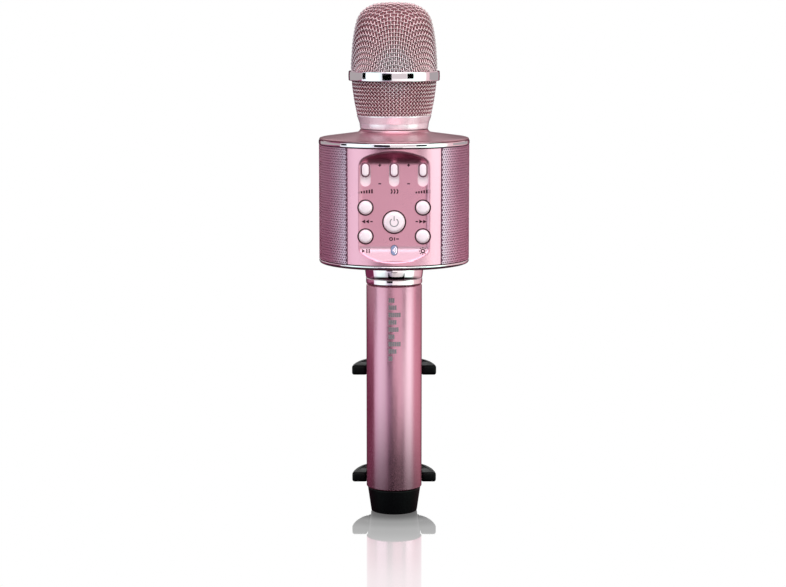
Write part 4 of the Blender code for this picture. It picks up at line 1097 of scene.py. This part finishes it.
signs = []
for x in (-COLUMN_X / 2, COLUMN_X / 2):
    signs += [bar(x, at(0.858), 1.5 * MM, 0.55 * MM), bar(x, at(0.858), 0.55 * MM, 1.6 * MM)]
    signs.append(bar(x, at(0.700), 1.4 * MM, 0.6 * MM))
# Under the sliders: a rising level, an echo and a wider level.
z = at(0.634)
for k in range(6):
    rise = 0.9 + 0.25 * k
    for x in (-COLUMN_X, COLUMN_X):
        signs.append(bar(x + (k - 2.5) * 1.35 * MM, z - MM + rise / 2 * MM, 0.85 * MM, rise * MM))
for k in range(3):
    signs.append(arc_band((1.5 * k - 2.4) * MM, z, 1.3 * MM, 0.6 * MM, -58, 58, 10))
# Under the upper buttons: skip back and skip on.
z = at(0.376)
for x, way in ((-COLUMN_X, -1), (COLUMN_X, 1)):
    signs += [arrow(x + way * step * MM, z, 1.9 * MM, 2.0 * MM, way) for step in (1.1, -0.9)]
    signs.append(bar(x - way * 3.1 * MM, z, 1.3 * MM, 0.6 * MM))
# Under the lower buttons: play with pause, and a lamp.
z = at(0.124)
signs.append(arrow(-COLUMN_X - 1.0 * MM, z, 1.7 * MM, 1.9 * MM, 1))
signs += [bar(-COLUMN_X + step * MM, z, 0.65 * MM, 1.9 * MM) for step in (0.7, 1.9)]
signs.append(arc_band(COLUMN_X, z, 0.85 * MM, 0.6 * MM, 0, 359, 20))
for k in range(8):
    a = math.pi / 4 * k
    c, s = math.cos(a), math.sin(a)
    signs.append([(COLUMN_X + far * MM * c - half * MM * s, z + far * MM * s + half * MM * c)
                  for far, half in ((1.35, 0.25), (1.35, -0.25), (2.0, -0.25), (2.0, 0.25))])
# Under the power button: a small ring and a dash.
z = at(0.226)
signs += [arc_band(-1.6 * MM, z, 0.75 * MM, 0.55 * MM, 0, 359, 16), bar(0.2 * MM, z, 0.55 * MM, 1.7 * MM),
          bar(1.7 * MM, z, 1.4 * MM, 0.6 * MM)]
mark_on(panel_y, "panel_signs", signs, INK)
mark_on(lens_y, "lens_sign", [arc_band(-0.9 * MM, LENS[1], (0.5 + 0.85 * k) * MM, 0.42 * MM, -50, 50, 8)
                               for k in range(3)], PEARL_WITH_GLOW)
power_x, power_z, power_r = BUTTONS["power"]


def cap_y(x, z):
    across = math.hypot(x - power_x, z - power_z) / power_r
    return FLOOR_Y - (1.75 - 0.20 * across ** 2) * MM


mark_on(cap_y, "power_sign", [arc_band(power_x, power_z, 2.1 * MM, 0.5 * MM, -235, 55, 28),
                              bar(power_x, power_z + 2.0 * MM, 0.5 * MM, 2.4 * MM)],
        GREY_INK, "button_power")


def tube_y(x, _):
    return -math.sqrt(HANDLE_R ** 2 - x * x)


# Level bars stand where a maker would print a name.
BARS_TOP = TUBE_LOW + 0.935 * (TUBE_TOP - TUBE_LOW)
BARS_START = -3.0 * MM
levels = []
for k, long in enumerate((0.45, 0.75, 1.0, 0.6, 0.85, 0.5, 0.95, 0.7, 0.4)):
    z = BARS_TOP - k * 3.9 * MM
    for cell in range(int(round(long * 6))):
        levels.append(bar(BARS_START + (cell + 0.5) * 1.08 * MM, z, 0.9 * MM, 2.4 * MM))
mark_on(tube_y, "handle_level_bars", levels, GREY_INK)
print("prints done")

# %% [markdown]
# ## The studio
# Mirror metal shows what stands round it, so the studio matters as much as the finish. A round light
# tent surrounds the part, and its brightness changes with direction: a strong soft band on each side, a
# calm front and dark flanks. Its pattern is read from the tent's own coordinates.

# %% Light tent
def emitting(name, strength=1.0, colour=(1, 1, 1)):
    """A material that only glows, with its glow and output nodes."""
    made = bpy.data.materials.new(name)
    made.use_nodes = True
    nodes, links = made.node_tree.nodes, made.node_tree.links
    nodes.clear()
    out = nodes.new("ShaderNodeOutputMaterial")
    glow = nodes.new("ShaderNodeEmission")
    glow.inputs["Strength"].default_value = strength
    glow.inputs["Color"].default_value = (*colour, 1)
    links.new(glow.outputs[0], out.inputs["Surface"])
    return made, glow, out


def either_shader(nodes, links, chooser, off, on):
    """One shader where the chooser is 0, another where it is 1."""
    pick = nodes.new("ShaderNodeMixShader")
    links.new(chooser, pick.inputs["Fac"])
    links.new(off.outputs[0], pick.inputs[1])
    links.new(on.outputs[0], pick.inputs[2])
    return pick


def ramp_of(nodes, stops):
    """A colour ramp from (position, (r, g, b)) stops."""
    ramp = nodes.new("ShaderNodeValToRGB")
    line = ramp.color_ramp
    line.interpolation = "EASE"
    while len(line.elements) > 1:
        line.elements.remove(line.elements[-1])
    line.elements[0].position = stops[0][0]
    line.elements[0].color = (*stops[0][1], 1)
    for position, colour in stops[1:]:
        line.elements.new(position).color = (*colour, 1)
    return ramp


def grey(value):
    return (value, value, value)


TENT_FULL = 2.5  # the ramp holds shares of this strength
# Angle from straight ahead, positive to the right of the part as the viewer sees it, and the glow there.
TENT = [
    (-92, (0.38, 0.14, 0.24)), (-88, (0.95, 1.05, 1.12)), (-62, (1.12, 1.54, 1.5)),
    (-42, (1.04, 1.4, 1.36)), (-29, (0.82, 0.9, 0.98)), (-21, (0.56, 0.54, 0.68)),
    (-12, (0.6, 0.6, 0.72)), (-4, (0.98, 1.02, 1.02)), (10, (1.08, 1.14, 1.1)), (30, (1.1, 1.24, 1.18)),
    (43, (1.2, 1.55, 1.42)), (56, (1.5, 2.2, 1.9)), (70, (1.55, 2.3, 2.0)), (83, (1.2, 1.5, 1.34)),
    (91, (0.85, 0.68, 0.7)), (112, (0.8, 0.57, 0.6)), (135, (0.66, 0.42, 0.46)),
    (150, (0.35, 0.14, 0.19)), (166, (0.05, 0.02, 0.03)), (180, grey(0.03)), (195, (0.03, 0.015, 0.02)),
    (210, (0.18, 0.06, 0.1)), (240, (0.36, 0.13, 0.23)),
]
TENT_R, TENT_TALL, TENT_MIDDLE = 1.6, 2.4, 0.5
bpy.ops.mesh.primitive_cylinder_add(vertices=96, radius=TENT_R, depth=TENT_TALL, end_fill_type="NOTHING",
                                    location=(0, 0, TENT_MIDDLE))
tent = bpy.context.object
tent.name = "light_tent"
tent.visible_camera = False
tent_glow, glow, _ = emitting("tent_glow", TENT_FULL)
nodes, links, place, parts = own_place(tent_glow)
sweep = nodes.new("ShaderNodeTexGradient")
sweep.gradient_type = "RADIAL"
links.new(place, sweep.inputs["Vector"])
around = ramp_of(nodes, sorted((((0.25 + angle / 360) % 1.0), tuple(part / TENT_FULL for part in colour))
                              for angle, colour in TENT))
links.new(sweep.outputs["Fac"], around.inputs["Fac"])
fade = smooth_mask(nodes, links, parts["Z"], -1.15, -0.75)
links.new(around.outputs["Color"], glow.inputs["Color"])
links.new(maths(nodes, links, "MULTIPLY", fade, TENT_FULL), glow.inputs["Strength"])
tent.data.materials.append(tent_glow)

# %% [markdown]
# Black and grey cards stand just inside the tent. Polished rings show them as the crisp dark blocks
# that make metal look like metal, while the satin pieces blur them away.

# %% Cards
CARD_TOP = 0.45
BLACK_CARD = emitting("card_black", 0.0, (0, 0, 0))[0]
GREY_CARD = emitting("card_grey", 0.42)[0]


def standing_card(name, first, last, z_low, z_high, look, radius=1.5):
    """A card that spans two angles from straight ahead and two heights."""
    corners = []
    for angle, z in ((first, z_low), (last, z_low), (last, z_high), (first, z_high)):
        turn = math.radians(angle)
        corners.append((radius * math.sin(turn), -radius * math.cos(turn), z))
    clear_selection()
    bpy.ops.mesh.primitive_plane_add(size=1)
    made = bpy.context.object
    made.name = name
    for vertex, corner in zip(made.data.vertices, (corners[0], corners[1], corners[3], corners[2])):
        vertex.co = corner
    made.visible_camera = False
    made.data.materials.append(look)


standing_card("card_left", -30, -6, -0.10, CARD_TOP, BLACK_CARD)
standing_card("card_right", 33, 50, 0.018, CARD_TOP, BLACK_CARD)
standing_card("card_far_left", -87, -76, 0.018, CARD_TOP, BLACK_CARD)
standing_card("card_grey_left", -150, -88, 0.018, CARD_TOP, GREY_CARD)
standing_card("card_grey_right", 100, 150, 0.018, CARD_TOP, GREY_CARD)
standing_card("card_grey_front", -5, 32, 0.01, CARD_TOP, emitting("card_front", 0.7)[0])
standing_card("card_back_high", 145, 180, 0.70, 1.45, emitting("card_high", 0.9)[0])
standing_card("card_back_high_2", 180, 215, 0.70, 1.45, emitting("card_high_2", 0.9)[0])
standing_card("card_neck", -14, 13, -0.32, -0.21, BLACK_CARD)
standing_card("card_maroon", -150, -93, -0.32, -0.085, emitting("card_maroon", 0.16, (1, 0.2, 0.5))[0])
standing_card("card_low", -25, 43, -0.75, -0.32, BLACK_CARD)

# %% [markdown]
# The floor looks plain white and carries a mirror image that fades with distance from the foot. To
# everything but the camera it is clear, so the tent carries on below and the underside of the drum
# stays deep.

# %% Floor
clear_selection()
bpy.ops.mesh.primitive_plane_add(size=60, location=(0, 0, 0))
floor = bpy.context.object
floor.name = "floor"
floor_look, glow, out = emitting("floor_lacquer")
nodes, links, place, _ = own_place(floor_look)
back = nodes.new("ShaderNodeMapRange")
back.inputs["From Min"].default_value = -0.012
back.inputs["From Max"].default_value = 0.25
links.new(distance_from(nodes, links, place, (1, 1, 1), (0, 0, 0)), back.inputs["Value"])
strength = ramp_of(nodes, [(0.0, grey(0.94)), (0.10, grey(0.86)), (0.16, grey(0.66)), (0.22, grey(0.56)),
                           (0.38, grey(0.40)), (0.63, grey(0.26)), (1.0, grey(0.0))])
links.new(back.outputs[0], strength.inputs["Fac"])
mirror = nodes.new("ShaderNodeBsdfGlossy")
mirror.inputs["Roughness"].default_value = 0.03
mirror.inputs["Color"].default_value = (1, 1, 1, 1)
shine = either_shader(nodes, links, strength.outputs["Color"], glow, mirror)
seen = nodes.new("ShaderNodeLightPath").outputs["Is Camera Ray"]
pick = either_shader(nodes, links, seen, nodes.new("ShaderNodeBsdfTransparent"), shine)
links.new(pick.outputs[0], out.inputs["Surface"])
floor.data.materials.append(floor_look)

# %% [markdown]
# A flat ring hangs round the part, clear from above and glowing from below. The floor's mirror looks up
# into it, so the floor stays white from every side, however the tent is shaded.

# %% Low canopy
CANOPY_R, CANOPY_SPREAD, CANOPY_Z = 0.35, 4.1, 0.19
clear_selection()
bpy.ops.mesh.primitive_circle_add(vertices=96, radius=CANOPY_R, fill_type="NOTHING",
                                  location=(0, 0, CANOPY_Z))
canopy = bpy.context.object
canopy.name = "low_canopy"
edit_all()
bpy.ops.mesh.extrude_edges_move()
bpy.ops.transform.resize(value=(CANOPY_SPREAD, CANOPY_SPREAD, 1), center_override=(0, 0, CANOPY_Z))
bpy.ops.object.mode_set(mode="OBJECT")
if canopy.data.polygons[0].normal.z < 0:
    canopy.data.flip_normals()
canopy.visible_camera = False
canopy.visible_diffuse = False
canopy_look, glow, out = emitting("card_glow")
nodes, links = canopy_look.node_tree.nodes, canopy_look.node_tree.links
underside = nodes.new("ShaderNodeNewGeometry").outputs["Backfacing"]
pick = either_shader(nodes, links, underside, nodes.new("ShaderNodeBsdfTransparent"), glow)
links.new(pick.outputs[0], out.inputs["Surface"])
canopy.data.materials.append(canopy_look)
print("floor and canopy ready")

# %% [markdown]
# Two lamps add soft highlights from above. The world is white to the camera and nearly black to
# everything else, so only the tent and the cards light the metal.

# %% Lamps and surroundings
def softbox(name, spot, aim, width, height, power):
    light = bpy.data.lights.new(name, "AREA")
    light.shape = "RECTANGLE"
    light.size = width
    light.size_y = height
    light.energy = power
    lamp = bpy.data.objects.new(name, light)
    lamp.location = spot
    lamp.rotation_euler = (Vector(aim) - Vector(spot)).to_track_quat("-Z", "Y").to_euler()
    bpy.context.scene.collection.objects.link(lamp)
    return lamp


MIDDLE = (0, 0, 0.14)
softbox("top_box", (0.1, -0.45, 1.35), MIDDLE, 1.5, 0.9, 9)
softbox("front_box", (0.0, -1.25, 1.05), MIDDLE, 1.0, 0.6, 4.6)

world = bpy.data.worlds.new("studio")
bpy.context.scene.world = world
world.use_nodes = True
nodes, links = world.node_tree.nodes, world.node_tree.links
nodes.clear()
out = nodes.new("ShaderNodeOutputWorld")
seen = nodes.new("ShaderNodeBackground")
seen.inputs["Color"].default_value = (1, 1, 1, 1)
room = nodes.new("ShaderNodeBackground")
room.inputs["Color"].default_value = (0.05, 0.02, 0.03, 1)
path = nodes.new("ShaderNodeLightPath")
pick = either_shader(nodes, links, path.outputs["Is Camera Ray"], room, seen)
links.new(pick.outputs[0], out.inputs[0])
bpy.context.scene.view_settings.view_transform = "Standard"

# %% [markdown]
# Every node that still shows is an inner part or a plain one. Each gets a real finish too.

# %% Finish the carried-over nodes
INNER = {"main_board": BOARD, "port_board": BOARD, "battery_cell": WRAP, "clamp_pad": RUBBER,
         "capsule_mount": RUBBER, "speaker_cone_left": PAPER, "speaker_cone_right": PAPER}
STEEL_NODES = ("neck_nut", "battery_spring", "charge_socket", "card_socket", "radio_module",
               "speaker_frame", "speaker_magnet", "cover_screw")
ROSE_NODES = ("handle_tube", "drum_bottom_cover", "rear_panel", "grille_left", "grille_right")
BLACK_NODES = ("end_cap", "jaw_left", "jaw_right", "clamp_frame", "clamp_saddle")
for name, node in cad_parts.items():
    if node.hide_render:
        continue
    look = INNER.get(name, DARK)
    if name.startswith(STEEL_NODES):
        look = STEEL
    if name.startswith(ROSE_NODES):
        look = ROSE
    if name.startswith(BLACK_NODES):
        look = BLACK
    if name.startswith("lower_neck"):
        look = ROSE_CHROME
    for index in range(len(node.material_slots)):
        node.material_slots[index].material = look
    if not node.material_slots:
        node.data.materials.append(look)
